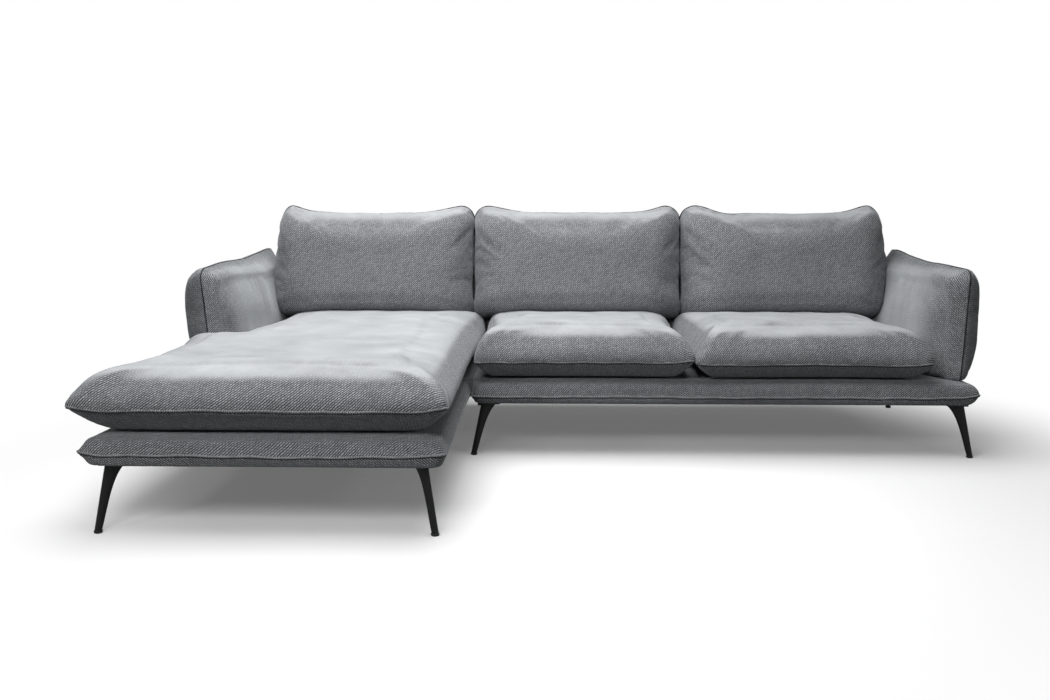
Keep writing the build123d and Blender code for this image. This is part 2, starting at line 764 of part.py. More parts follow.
for seat, corners in seat_outlines.items():
    with BuildPart() as seat_form:
        stuffed_half(
            seat_plane, corners, seat_corner_radius, seat_side_pull,
            seat_crown_rise, seat_top_inset, crown_steps,
        )
        stuffed_half(
            seat_plane, corners, seat_corner_radius, seat_side_pull,
            -seat_seam_rise, seat_bottom_inset, wedge_steps,
        )
    seat_forms[seat] = seat_form.part
    with BuildPart() as seat_core:
        plain_block(seat_plane, corners, seat_corner_radius, seat_core_spans)
    save(seat_core, f"{seat}_seat_core")
    low, *middle, high = seat_core_spans
    room = [(low[0] - fit_gap, low[1] - fit_gap)]
    room += [(offset, inset - fit_gap) for offset, inset in middle]
    room += [(high[0] + fit_gap, high[1] - fit_gap)]
    with BuildPart() as seat_cover:
        add(seat_form.part)
        plain_block(seat_plane, corners, seat_corner_radius, room, mode=Mode.SUBTRACT)
    save(seat_cover, f"{seat}_seat_cover")

# Back cushions lean on the backs, each pressed to the seat cushion below it and to the arm at its end
end_arms = {"chaise": (left_arm_form.part, 1), "right": (arm_form, -1)}
row_half = right_x - back_cushion_arm_gap
back_cushion_width = (2 * row_half - 2 * back_cushion_gap) / 3
seam_offset = back_cushion_rear_depth + fit_gap
cushion_foot_z = deck_z + back_cushion_sink
cushion_foot_y = back_foot_y + back_cushion_sink * tan(back_tilt)
back_cushion_plane = Plane(
    origin=(
        0,
        cushion_foot_y - seam_offset * cos(back_tilt),
        cushion_foot_z + seam_offset * sin(back_tilt),
    ),
    x_dir=(1, 0, 0),
    z_dir=(0, -cos(back_tilt), sin(back_tilt)),
)
# Edges in order: foot, right, top, left
back_cushion_weights = (0.3, 1, 1, 1)
back_core_spans = [
    (-back_cushion_rear_depth + back_core_rear_gap, back_core_rear_inset),
    (0, back_core_seam_inset),
    (back_core_shoulder, back_core_shoulder_inset),
    (back_cushion_front_depth - back_core_front_gap, back_core_front_inset),
]
for i, seat in enumerate(seat_forms):
    x0 = -row_half + i * (back_cushion_width + back_cushion_gap)
    corners = rectangle((x0, x0 + back_cushion_width), (0, back_cushion_height))
    with BuildPart() as cushion_form:
        stuffed_half(
            back_cushion_plane, corners, back_cushion_corner_radius, back_cushion_side_pull,
            back_cushion_front_depth, back_cushion_front_inset, crown_steps, back_cushion_weights,
        )
        stuffed_half(
            back_cushion_plane, corners, back_cushion_corner_radius, back_cushion_side_pull,
            -back_cushion_rear_depth, back_cushion_rear_inset, shallow_steps,
        )
    low, *middle, high = back_core_spans
    room = [(low[0] - fit_gap, low[1] - fit_gap)]
    room += [(offset, inset - fit_gap) for offset, inset in middle]
    room += [(high[0] + fit_gap, high[1] - fit_gap)]
    with BuildPart() as back_core:
        plain_block(back_cushion_plane, corners, back_cushion_corner_radius, back_core_spans)
        if seat in end_arms:
            arm, way = end_arms[seat]
            add(arm.moved(Location((way * back_core_arm_wall, 0, 0))), mode=Mode.SUBTRACT)
    save(back_core, f"{seat}_back_cushion_core")
    with BuildPart() as core_room:
        plain_block(back_cushion_plane, corners, back_cushion_corner_radius, room)
        if seat in end_arms:
            add(arm.moved(Location((way * (back_core_arm_wall - fit_gap), 0, 0))), mode=Mode.SUBTRACT)
    with BuildPart() as back_cushion:
        add(cushion_form.part)
        add(seat_forms[seat].moved(Location((0, 0, fit_gap))), mode=Mode.SUBTRACT)
        if seat in end_arms:
            add(arm.moved(Location((way * back_arm_gap, 0, 0))), mode=Mode.SUBTRACT)
        add(core_room.part, mode=Mode.SUBTRACT)
    save(back_cushion, f"{seat}_back_cushion_cover")
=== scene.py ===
# %% [markdown]
# # A corner sofa in a coarse grey weave
# The hard frame comes from CAD: timber, straps, screws, hooks and splayed black legs. This lesson
# dresses it. Twelve stuffed pieces give the sofa its looks: two slim bases, two arms, two backs, three
# seat cushions and three back cushions. Each is sewn from panels that meet in a seam, and each seam
# shows as a thin lip. The frame is loaded first. The dressed sofa may not outgrow it.

# %% Load the frame
import json
import math

import bpy
import numpy as np
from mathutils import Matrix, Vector
from mathutils.kdtree import KDTree


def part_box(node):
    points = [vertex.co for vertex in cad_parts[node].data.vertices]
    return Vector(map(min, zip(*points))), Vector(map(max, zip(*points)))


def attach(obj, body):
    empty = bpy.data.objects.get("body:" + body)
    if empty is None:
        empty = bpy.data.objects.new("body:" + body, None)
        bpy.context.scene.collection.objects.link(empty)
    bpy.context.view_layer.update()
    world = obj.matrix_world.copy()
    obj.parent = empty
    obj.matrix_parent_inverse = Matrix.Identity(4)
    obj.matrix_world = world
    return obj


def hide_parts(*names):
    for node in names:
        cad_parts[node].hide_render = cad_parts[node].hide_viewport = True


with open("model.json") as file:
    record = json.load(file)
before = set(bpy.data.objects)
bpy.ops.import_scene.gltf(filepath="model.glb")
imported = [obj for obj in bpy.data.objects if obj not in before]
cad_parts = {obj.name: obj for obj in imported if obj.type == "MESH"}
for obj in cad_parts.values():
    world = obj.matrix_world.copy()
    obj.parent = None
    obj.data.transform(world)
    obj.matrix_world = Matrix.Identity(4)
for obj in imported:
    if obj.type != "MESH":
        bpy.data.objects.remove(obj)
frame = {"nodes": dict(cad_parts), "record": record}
nodes = frame["nodes"]
scene = bpy.context.scene
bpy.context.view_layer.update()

# %% [markdown]
# ## Hand tools
# Operators act on whatever is selected, so every step starts by letting go of all objects and picking
# one. Vertex places are read and written as one array, which is much quicker than one vertex at a time.

# %% Pick one piece
UP = np.array((0, 0, 1.0))
FLAT = np.array((1, 1, 0.0))


def pick(piece):
    if bpy.context.mode != "OBJECT":
        bpy.ops.object.mode_set(mode="OBJECT")
    bpy.ops.object.select_all(action="DESELECT")
    piece.select_set(True)
    bpy.context.view_layer.objects.active = piece


def set_values(thing, **values):
    for name, value in values.items():
        setattr(thing, name, value)
    return thing


def apply_modifier(piece, kind, **settings):
    modifier = set_values(piece.modifiers.new(kind.lower(), kind), **settings)
    pick(piece)
    bpy.ops.object.modifier_apply(modifier=modifier.name)


def box_of(node):
    """Low and high corner of a CAD node's box."""
    return [np.array(corner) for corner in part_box(node)]


print("seats stand on", round(float(box_of("chaise_seat_cover")[0][2]), 3), "m")

# %% Read and write the points of a mesh


def read(items, name, width=1, kind=np.float32):
    """One value of every item, as an array with a row for each."""
    values = np.empty(len(items) * width, kind)
    items.foreach_get(name, values)
    return values.reshape(-1, width) if width > 1 else values


def points_of(mesh):
    return read(mesh.vertices, "co", 3).astype(float)


def normals_of(mesh):
    return read(mesh.vertices, "normal", 3).astype(float)


def set_points(mesh, places):
    mesh.vertices.foreach_set("co", places.astype(np.float32).ravel())
    mesh.update()


def ease(values, low, high):
    """Smooth step from 0 at low to 1 at high."""
    share = np.clip((values - low) / (high - low), 0, 1)
    return share * share * (3 - 2 * share)


def nearest(path, places):
    """Index of and distance to the nearest point of the path, for each place."""
    tree = KDTree(len(path))
    for i, p in enumerate(path):
        tree.insert(p, i)
    tree.balance()
    found = [tree.find(p) for p in places]
    return np.array([f[1] for f in found]), np.array([f[2] for f in found])


print("points of the chaise's seat in CAD:", len(points_of(nodes["chaise_seat_cover"].data)))

# %% [markdown]
# ## The outside of a cover
# A stuffed cover could be drawn again from a cube, but its CAD solid already has the sewn outline and
# the crown. A copy of that solid is the start: its doubles are merged, a closed hollow inside is
# dropped, and a hollow that opens downwards is filled with a block, because the cloth only needs the
# outside.

# %% Copy a cover and close it
FILLER_OVER = 0.006
FILLER_LIFT = 0.0002


def copy_form(node, name):
    """The outside of a cover, its points, and the low and high corner of its box."""
    piece = bpy.data.objects.new(name, nodes[node].data.copy())
    piece.data.materials.clear()
    scene.collection.objects.link(piece)
    pick(piece)
    bpy.ops.object.mode_set(mode="EDIT")
    bpy.ops.mesh.select_all(action="SELECT")
    bpy.ops.mesh.remove_doubles(threshold=1e-5)
    bpy.ops.mesh.separate(type="LOOSE")
    bpy.ops.object.mode_set(mode="OBJECT")
    shells = list(bpy.context.selected_objects)
    outside = max(shells, key=lambda shell: float(np.ptp(points_of(shell.data), axis=0).sum()))
    for shell in shells:
        if shell is not outside:
            bpy.data.objects.remove(shell)
    outside.name = name
    outside.data.name = name
    return outside, points_of(outside.data), *box_of(node)


def fill_hollow(piece, low, high):
    bpy.ops.object.select_all(action="DESELECT")
    centre = [(a + b) / 2 for a, b in zip(low, high)]
    bpy.ops.mesh.primitive_cube_add(size=1, location=centre, scale=[b - a for a, b in zip(low, high)])
    filler = bpy.context.active_object
    pick(piece)
    filler.select_set(True)
    bpy.ops.object.join()


print("a filler block stands", FILLER_OVER, "m out into the padding")

# %% [markdown]
# ## Finding the sewn edge
# On the real sofa two panels meet in one plane: level on a seat, leaning on a back cushion, upright on
# an arm. The edge points that lie in that plane are walked in order and spaced evenly, and become the
# seam's path. A second path beside it, a little out or up, carries the lip or the painted shadow line
# below the lip.

# %% Walk along the seam
SEAM_STEP = 0.008
LEVEL_SLACK, LEANING_SLACK = 2e-4, 4e-4


def seam_path(mesh, on_seam):
    """Evenly spaced points along the longest chain of edges on the seam, and whether it closes."""
    links = {}
    for edge in mesh.edges:
        a, b = edge.vertices
        if on_seam[a] and on_seam[b]:
            links.setdefault(a, []).append(b)
            links.setdefault(b, []).append(a)
    places = points_of(mesh)
    best, best_length, best_closed = None, 0, False
    unseen = set(links)
    while unseen:
        ends = [v for v in unseen if len(links[v]) == 1]
        start = min(ends) if ends else min(unseen)
        chain = [start]
        unseen.discard(start)
        while True:
            ahead = [v for v in links[chain[-1]] if v in unseen]
            if not ahead:
                break
            chain.append(ahead[0])
            unseen.discard(ahead[0])
        closed = len(chain) > 3 and chain[0] in links[chain[-1]]
        line = places[chain + chain[:1] if closed else chain]
        length = float(np.linalg.norm(np.diff(line, axis=0), axis=1).sum())
        if length > best_length:
            best, best_length, best_closed = line, length, closed
    along = np.concatenate([[0], np.cumsum(np.linalg.norm(np.diff(best, axis=0), axis=1))])
    count = max(2, round(best_length / SEAM_STEP))
    spots = np.linspace(0, best_length, count + 1)
    if best_closed:
        spots = spots[:-1]
    return np.stack([np.interp(spots, along, best[:, k]) for k in range(3)], axis=1), best_closed


def beside(path, closed, normal, out, up):
    """The path moved outwards in its plane and up along the plane's normal."""
    ahead, behind = np.roll(path, -1, axis=0), np.roll(path, 1, axis=0)
    if not closed:
        ahead[-1], behind[0] = path[-1], path[0]
    run = ahead - behind
    run /= np.maximum(np.linalg.norm(run, axis=1), 1e-9)[:, None]
    outward = np.cross(run, normal)
    spread = np.cross(path - path.mean(0), ahead - path.mean(0)) @ normal
    way = 1 if spread.sum() > 0 else -1
    return path + outward * (way * out) + np.asarray(normal) * up


print("seam points every", SEAM_STEP, "m")

# %% [markdown]
# ## Cloth
# Stuffed fabric could be faked with a bevelled box, but it would look like foam. Here each form is
# remeshed to even quads and its points are drawn back to the sewn edge, which the remesh rounds off.
# Its seam and its resting faces are held, and the Cloth simulation blows it up with a little spare
# fabric. The fabric then swells between its seams as a filled cover does. How far a point may move is
# capped, and the movement fades out where the piece meets its neighbours, so nothing grows into
# anything.

# %% Remesh and draw to the seam
RELAX_STEPS = 4
GRAB_REACH = 2
PULL_REACH = 3.2


def draw_to_seam(piece, path, voxel):
    """Move the nearest points onto the seam, take their neighbours along, and crease the sewn edge."""
    mesh = piece.data
    places = points_of(mesh)
    spot, gap = nearest(places, path)
    wanted = {}
    for i in np.argsort(-gap):
        if gap[i] < GRAB_REACH * voxel:
            wanted[int(spot[i])] = path[i] - places[spot[i]]
    grabbed = np.array(sorted(wanted))
    pulls = np.array([wanted[int(v)] for v in grabbed])
    index, away = nearest(places[grabbed], places)
    fade = 1 - ease(away, 0, PULL_REACH * voxel)
    set_points(mesh, places + pulls[index] * fade[:, None])
    sewn = np.zeros(len(mesh.vertices), bool)
    sewn[grabbed] = True
    ends = read(mesh.edges, "vertices", 2, np.int32)
    crease = sewn[ends].all(axis=1).astype(np.float32)
    mesh.attributes.new("crease_edge", "FLOAT", "EDGE").data.foreach_set("value", crease)


def remeshed(piece, voxel, path, *rims):
    """Even quads drawn to the seam; gives the points and how far each is from the seam."""
    apply_modifier(piece, "REMESH", mode="VOXEL", voxel_size=voxel)
    apply_modifier(piece, "SMOOTH", factor=0.5, iterations=RELAX_STEPS)
    draw_to_seam(piece, np.concatenate([path, *rims]), voxel)
    places = points_of(piece.data)
    return places, nearest(path, places)[1]


print("points are drawn to a seam from", GRAB_REACH, "voxels away")

# %% Stuff a piece and cap its swelling
SIM_FRAMES = 16
STUFFING_PRESSURE = 4.0
SPARE_FABRIC = 0.02
SEAM_HELD = 0.009


def stuffed(piece, held, freedom, cap):
    """Blow the piece up with the movement under the cap; freedom scales it from 0 to 1 at each point."""
    start = points_of(piece.data)
    hold = piece.vertex_groups.new(name="held")
    hold.add(np.flatnonzero(held).tolist(), 1.0, "REPLACE")
    cloth = piece.modifiers.new("stuffing", "CLOTH")
    set_values(
        cloth.settings, quality=4, mass=0.3, tension_stiffness=18, compression_stiffness=18,
        shear_stiffness=6, bending_stiffness=0.6, use_pressure=True,
        uniform_pressure_force=STUFFING_PRESSURE, shrink_min=-SPARE_FABRIC, vertex_group_mass=hold.name,
    )
    cloth.settings.effector_weights.gravity = 0
    cloth.collision_settings.use_collision = False
    set_values(cloth.point_cache, frame_start=1, frame_end=SIM_FRAMES)
    for step in range(1, SIM_FRAMES + 1):
        scene.frame_set(step)
    blown = piece.evaluated_get(bpy.context.evaluated_depsgraph_get())
    moved = points_of(blown.data) - start
    piece.modifiers.remove(cloth)
    piece.vertex_groups.remove(hold)
    scene.frame_set(1)
    reach = np.linalg.norm(moved, axis=1)
    moved *= (cap * np.tanh(reach / cap) / np.maximum(reach, 1e-9))[:, None]
    return moved * freedom[:, None]


print("stuffing:", SIM_FRAMES, "frames at pressure", STUFFING_PRESSURE)

# %% [markdown]
# ## Sewn corners
# Where two seams turn a corner there is hardly any room for filling, so a pillow thins towards its
# corners, and the corner itself turns up into a small ear. Both are plain moves of points, made alike
# on the cushion and on the path of its seam, so that they stay together.

# %% Thin the corners and turn up the ears
TIP_THICKNESS = 0.003


def thin_corners(places, seam_z, tips, rise, fall):
    """Keep the fabric under a cone above each tip and over one below it."""
    away = np.min([np.hypot(places[:, 0] - x, places[:, 1] - y) for x, y in tips], axis=0)
    height = places[:, 2] - seam_z
    limit = np.where(height > 0, rise, fall) * away + TIP_THICKNESS
    shaped = places.copy()
    shaped[:, 2] = seam_z + height / (1 + (np.abs(height) / limit) ** 4) ** 0.25
    return shaped


def pushed(places, pushes):
    """Each push is a centre, a move and the reach over which the move fades."""
    moved = places.copy()
    for centre, move, reach in pushes:
        away = np.linalg.norm(places - np.array(centre), axis=1)
        moved += np.exp(-((away / reach) ** 2))[:, None] * np.array(move)
    return moved


def front_ears(low, high, seam_z, moves, reach):
    """The two front corners, the tips of those that are pushed, and the pushes."""
    corners = [(low[0], low[1], seam_z), (high[0], low[1], seam_z)]
    tips = [corner[:2] for corner, move in zip(corners, moves) if any(move)]
    return corners, tips, [(corner, move, reach) for corner, move in zip(corners, moves)]


print("thickness left at a tip:", TIP_THICKNESS, "m")

# %% [markdown]
# ## Hand-made unevenness
# No seam on a real sofa runs dead straight. A handful of slow waves shifts every soft piece and every
# seam by a few millimetres. Because the waves are the same for all, neighbours shift together and no
# gap opens or closes. They fade where cushions slide past each other and on the deck, so that a pulled
# cushion does not catch. Near a seam the spare fabric also gathers into small folds that run away from
# the stitches, more so at corners.

# %% Waves for all fabric
WANDER = 0.0014
WAVES = 14
LONGEST_WAVE, MIDDLE_WAVE, SHORTEST_WAVE = 0.7, 0.35, 0.08
FLOOR_OF_FABRIC = 0.192
FLOOR_FADE = 0.03
DECK_FADE = 0.016
# Planes where back cushions, seats and bases pass each other, and how the waves fade beside them
MEETING_X = (-0.431, -0.381, 0.39, 0.431)
MEETING_STILL, MEETING_FREE = 0.012, 0.08
deck_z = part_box("chaise_seat_cover")[0].z
chance = np.random.default_rng(7)
wave_ways = chance.normal(size=(WAVES, 3))
wave_ways /= np.linalg.norm(wave_ways, axis=1)[:, None]
wave_lengths = np.geomspace(LONGEST_WAVE, SHORTEST_WAVE, WAVES)
wave_pushes = chance.normal(size=(WAVES, 3)) * (wave_lengths / MIDDLE_WAVE)[:, None] ** 1.4
wave_phases = chance.uniform(0, 2 * math.pi, WAVES)


def off_deck(places):
    """0 on the deck, 1 well above or below it."""
    return 1 - np.exp(-(((places[:, 2] - deck_z) / DECK_FADE) ** 2))


def wander(places):
    turns = places @ (wave_ways / wave_lengths[:, None]).T * 2 * math.pi + wave_phases
    shift = np.sin(turns) @ wave_pushes * WANDER
    shift *= ease(places[:, 2], FLOOR_OF_FABRIC, FLOOR_OF_FABRIC + FLOOR_FADE)[:, None]
    for x in MEETING_X:
        shift[:, 0] *= ease(np.abs(places[:, 0] - x), MEETING_STILL, MEETING_FREE)
    shift[:, 2] *= off_deck(places)
    return shift


print("largest wave of all:", round(float(np.abs(wave_pushes).max() * WANDER), 4), "m")

# %% Gathers beside a seam
FOLD_LENGTH, FOLD_DRIFT, FOLD_SWELL = 0.047, 0.31, 0.13
FOLD_REACH = 0.034
FOLD_START = 0.006
CORNER_REACH = 0.12
CORNER_MORE = 0.8


def gathers(places, normals, path, tips, depth):
    spot, away = nearest(path, places)
    along = spot * SEAM_STEP * 2 * math.pi
    fold = np.sin(along / FOLD_LENGTH + 2.2 * np.sin(along / FOLD_DRIFT))
    fold *= 0.65 + 0.35 * np.sin(along / FOLD_SWELL + 1)
    fade = np.exp(-away / FOLD_REACH) * (1 - np.exp(-away / FOLD_START))
    corner = np.zeros(len(places))
    if tips:
        corner = np.exp(-((nearest(np.array(tips), places)[1] / CORNER_REACH) ** 2))
    return normals * (fold * fade * depth * (1 + CORNER_MORE * corner))[:, None]


print("one gather every", FOLD_LENGTH, "m")

# %% [markdown]
# ## Laying the weave
# The threads follow the fabric, so each panel is unwrapped along its seam, as the flat cut it once was.
# The unwrapped panel is then turned and scaled to real metres, so the same weave has the same size
# everywhere.

# %% Unwrap each panel at its real size
PANEL_MARGIN = 0.02


def lay_weave(piece, panel_of_face, across, upward):
    """Seam edges part the panels; across and upward are the directions of the threads on the flat cut."""
    mesh = piece.data
    panels = np.asarray(panel_of_face)
    first = read(mesh.polygons, "loop_start", kind=np.int32)
    counts = read(mesh.polygons, "loop_total", kind=np.int32)
    areas = read(mesh.polygons, "area")
    loop_panel = np.repeat(panels, counts)
    lowest = np.full(len(mesh.edges), 99)
    highest = np.full(len(mesh.edges), -1)
    edge_of_loop = read(mesh.loops, "edge_index", kind=np.int32)
    np.minimum.at(lowest, edge_of_loop, loop_panel)
    np.maximum.at(highest, edge_of_loop, loop_panel)
    mesh.edges.foreach_set("use_seam", lowest != highest)
    mesh.uv_layers.new(name="fabric")
    pick(piece)
    bpy.ops.object.mode_set(mode="EDIT")
    bpy.ops.mesh.select_all(action="SELECT")
    bpy.ops.uv.unwrap(method="MINIMUM_STRETCH", margin=PANEL_MARGIN)
    bpy.ops.object.mode_set(mode="OBJECT")
    uv = read(mesh.uv_layers[0].data, "uv", 2).astype(float)
    places = points_of(mesh)[read(mesh.loops, "vertex_index", kind=np.int32)]
    following = np.arange(len(mesh.loops)) + 1
    following[first + counts - 1] = first
    for panel in np.unique(panels):
        chosen = loop_panel == panel
        flat = np.stack([places[chosen] @ np.array(across), places[chosen] @ np.array(upward)], axis=1)
        cut = uv[chosen]
        middle = cut.mean(0)
        fit, *_ = np.linalg.lstsq(cut - middle, flat - flat.mean(0), rcond=None)
        left, sizes, right = np.linalg.svd(fit)
        uv[chosen] = (cut - middle) @ (left @ right)
        cross = uv[:, 0] * uv[following, 1] - uv[:, 1] * uv[following, 0]
        drawn = np.abs(np.add.reduceat(cross, first))[panels == panel].sum() / 2
        uv[chosen] *= math.sqrt(areas[panels == panel].sum() / max(drawn, 1e-12))
    mesh.uv_layers[0].data.foreach_set("uv", uv.astype(np.float32).ravel())


print("panels are laid out", PANEL_MARGIN, "apart")

# %% [markdown]
# ## The weave as a node group
# The fabric is a coarse diagonal weave: slanting rows of thick soft yarn with dark gaps between. Rows
# come from a wave across the slant. A second, weaker wave along it parts each row into short floats,
# moved on by half in every other row. Each float gets its own shade from white noise, as mixed yarn
# has. The group puts out the yarn's height and its shade, and each material decides what to do with
# them.

# %% Build the weave group
WEAVE_PERIOD = 0.0086
ROW_SLANT = 1.12
ROW_EDGE = 0.85
FLOATS_PER_PERIOD = 0.62
FLOAT_DIP = 0.2
YARN_DRIFT = 0.9
DRIFT_SCALE = 60


def add_node(tree, kind, **settings):
    return set_values(tree.nodes.new(kind), **settings)


def link(source, socket):
    socket.id_data.links.new(source, socket)


def set_inputs(node, values):
    for name, value in values.items():
        node.inputs[name].default_value = value


def math_node(tree, operation, *values):
    node = add_node(tree, "ShaderNodeMath", operation=operation)
    for socket, value in zip(node.inputs, values):
        if isinstance(value, (int, float)):
            socket.default_value = value
        else:
            link(value, socket)
    return node.outputs[0]


def weave_group():
    tree = bpy.data.node_groups.new("coarse_weave", "ShaderNodeTree")
    face = tree.interface
    face.new_socket(name="Fabric", in_out="INPUT", socket_type="NodeSocketVector")
    face.new_socket(name="Period", in_out="INPUT", socket_type="NodeSocketFloat")
    face.new_socket(name="Yarn", in_out="OUTPUT", socket_type="NodeSocketFloat")
    face.new_socket(name="Shade", in_out="OUTPUT", socket_type="NodeSocketFloat")
    given = add_node(tree, "NodeGroupInput")
    result = add_node(tree, "NodeGroupOutput")
    uneven = add_node(tree, "ShaderNodeTexNoise", noise_dimensions="2D")
    uneven.inputs["Scale"].default_value = DRIFT_SCALE
    link(given.outputs["Fabric"], uneven.inputs["Vector"])
    parts = add_node(tree, "ShaderNodeSeparateXYZ")
    link(given.outputs["Fabric"], parts.inputs[0])
    drift = math_node(tree, "MULTIPLY", math_node(tree, "SUBTRACT", uneven.outputs[0], 0.5), YARN_DRIFT)
    u = math_node(tree, "DIVIDE", parts.outputs[0], given.outputs["Period"])
    u = math_node(tree, "ADD", u, drift)
    v = math_node(tree, "DIVIDE", parts.outputs[1], given.outputs["Period"])
    row = math_node(tree, "SUBTRACT", u, math_node(tree, "MULTIPLY", v, ROW_SLANT))
    row_index = math_node(tree, "FLOOR", row)
    float_at = math_node(
        tree, "ADD",
        math_node(tree, "MULTIPLY", math_node(tree, "ADD", u, v), FLOATS_PER_PERIOD),
        math_node(tree, "MULTIPLY", row_index, 0.5),
    )
    turn = 2 * math.pi
    row_wave = math_node(tree, "COSINE", math_node(tree, "MULTIPLY", row, turn))
    row_high = math_node(tree, "MULTIPLY_ADD", row_wave, -0.5, 0.5)
    float_wave = math_node(tree, "COSINE", math_node(tree, "MULTIPLY", float_at, turn))
    float_high = math_node(tree, "MULTIPLY_ADD", float_wave, -FLOAT_DIP, 1 - FLOAT_DIP)
    yarn = math_node(tree, "MULTIPLY", math_node(tree, "POWER", row_high, ROW_EDGE), float_high)
    link(yarn, result.inputs["Yarn"])
    cell = add_node(tree, "ShaderNodeCombineXYZ")
    link(row_index, cell.inputs[0])
    link(math_node(tree, "FLOOR", float_at), cell.inputs[1])
    lot = add_node(tree, "ShaderNodeTexWhiteNoise", noise_dimensions="2D")
    link(cell.outputs[0], lot.inputs["Vector"])
    link(lot.outputs["Value"], result.inputs["Shade"])
    return tree


coarse_weave = weave_group()
print("weave group sockets:", [item.name for item in coarse_weave.interface.items_tree])

# %% [markdown]
# ## Upholstery
# The cloth is matt with a soft nap. Faces that look up carry a painted highlight: they are paler and the
# weave shows less, standing in for the pale sheen that the light lays on the tops. Each piece carries
# its mask as its own attribute. Slow noise adds the cloudy patches of a nap that lies this way and
# that, and the shader's sheen gives the pale edge.

# %% Make the fabric materials
GAP_SHADE = (0.022, 0.0232, 0.0245, 1)
YARN_DARK = (0.305, 0.317, 0.33, 1)
YARN_PALE = (0.44, 0.456, 0.472, 1)
# Painted highlight: the pale colour that up-facing faces take on for the sheen of the light, how much of
# it they take, and the most
HIGHLIGHT_COLOUR = (0.49, 0.505, 0.52, 1)
HIGHLIGHT_COVER = 0.82
HIGHLIGHT_LIMIT = 0.9
CLOUD_SCALE = 8
YARN_HEIGHT = 0.0012


def new_material(name):
    material = bpy.data.materials.new(name)
    material.use_nodes = True
    tree = material.node_tree
    shader = tree.nodes["Principled BSDF"]
    return material, tree, shader


def mix_colour(tree, blend, factor, first, second):
    node = add_node(tree, "ShaderNodeMix", data_type="RGBA", blend_type=blend)
    for socket, value in ((node.inputs[0], factor), (node.inputs[6], first), (node.inputs[7], second)):
        if isinstance(value, (int, float, tuple)):
            socket.default_value = value
        else:
            link(value, socket)
    return node.outputs[2]


def grey(tree, value):
    """A colour with the same value in all its parts."""
    colour = add_node(tree, "ShaderNodeCombineColor")
    for socket in colour.inputs:
        link(value, socket)
    return colour.outputs[0]


def add_bump(tree, shader, height, strength, distance):
    bump = add_node(tree, "ShaderNodeBump")
    set_inputs(bump, {"Strength": strength, "Distance": distance})
    link(height, bump.inputs["Height"])
    link(bump.outputs[0], shader.inputs["Normal"])


def upholstery_material(name, coordinates, period, brightness):
    material, tree, shader = new_material(name)
    place = add_node(tree, "ShaderNodeTexCoord")
    weave = add_node(tree, "ShaderNodeGroup", node_tree=coarse_weave)
    link(place.outputs[coordinates], weave.inputs["Fabric"])
    weave.inputs["Period"].default_value = period
    cloud = add_node(tree, "ShaderNodeTexNoise")
    set_inputs(cloud, {"Scale": CLOUD_SCALE, "Detail": 5})
    link(place.outputs["Object"], cloud.inputs["Vector"])
    # Painted highlight: the mask that each piece carries mixes the paler colour over the weave
    highlit = add_node(tree, "ShaderNodeAttribute", attribute_name="highlit")
    patchy = math_node(tree, "MULTIPLY_ADD", cloud.outputs[0], 0.7, 0.5)
    highlight_share = math_node(tree, "MULTIPLY", highlit.outputs["Fac"], patchy)
    highlight_share = math_node(tree, "MINIMUM", math_node(tree, "MULTIPLY", highlight_share, HIGHLIGHT_COVER), HIGHLIGHT_LIMIT)
    yarn_colour = mix_colour(tree, "MIX", weave.outputs["Shade"], YARN_DARK, YARN_PALE)
    woven = mix_colour(tree, "MIX", weave.outputs["Yarn"], GAP_SHADE, yarn_colour)
    painted_highlight = mix_colour(tree, "MIX", highlight_share, woven, HIGHLIGHT_COLOUR)
    patch = math_node(tree, "MULTIPLY_ADD", cloud.outputs[0], 0.3 * brightness, 0.85 * brightness)
    link(mix_colour(tree, "MULTIPLY", 1.0, painted_highlight, grey(tree, patch)), shader.inputs["Base Color"])
    add_bump(tree, shader, weave.outputs["Yarn"], 0.5, YARN_HEIGHT)
    set_inputs(shader, {"Roughness": 0.93, "Specular IOR Level": 0.1, "Sheen Weight": 0.35})
    set_inputs(shader, {"Sheen Roughness": 0.4, "Sheen Tint": (0.86, 0.89, 0.93, 1)})
    return material


woven_fabric = upholstery_material("woven_fabric", "UV", WEAVE_PERIOD, 1.0)
lip_fabric = upholstery_material("lip_fabric", "Object", WEAVE_PERIOD * 0.7, 0.95)
# A very dark copy of the fabric paints shade: the shadow in the groove under each lip, and the shaded
# piping
seam_shade_fabric = upholstery_material("seam_shade_fabric", "Object", WEAVE_PERIOD * 0.5, 0.2)
print("fabric materials:", woven_fabric.name, lip_fabric.name, seam_shade_fabric.name)

# %% [markdown]
# ## The sewn lip
# Where two panels meet, their edges are turned in and stitched, which leaves a thin raised lip with a
# shaded groove below it. The groove's shade is painted: a thin tube of very dark fabric lies under the
# lip. A bevelled curve along a path makes each of them: the path becomes edges, the edges a curve, and
# the curve a tube.

# %% Sew a tube along a path
# Radii of the lip, of the thin tube that paints the shadow below it, and of the piping
LIP_RADIUS = 0.0034
SHADOW_LINE_RADIUS = 0.0018
PIPING_RADIUS = 0.0026
# How much painted highlight the lip takes, where its top catches the light
LIP_HIGHLIT = 0.35


# Store the mask of the painted highlight on the mesh
def note_highlit(mesh, highlit):
    mesh.attributes.new("highlit", "FLOAT", "POINT").data.foreach_set("value", highlit.astype(np.float32))


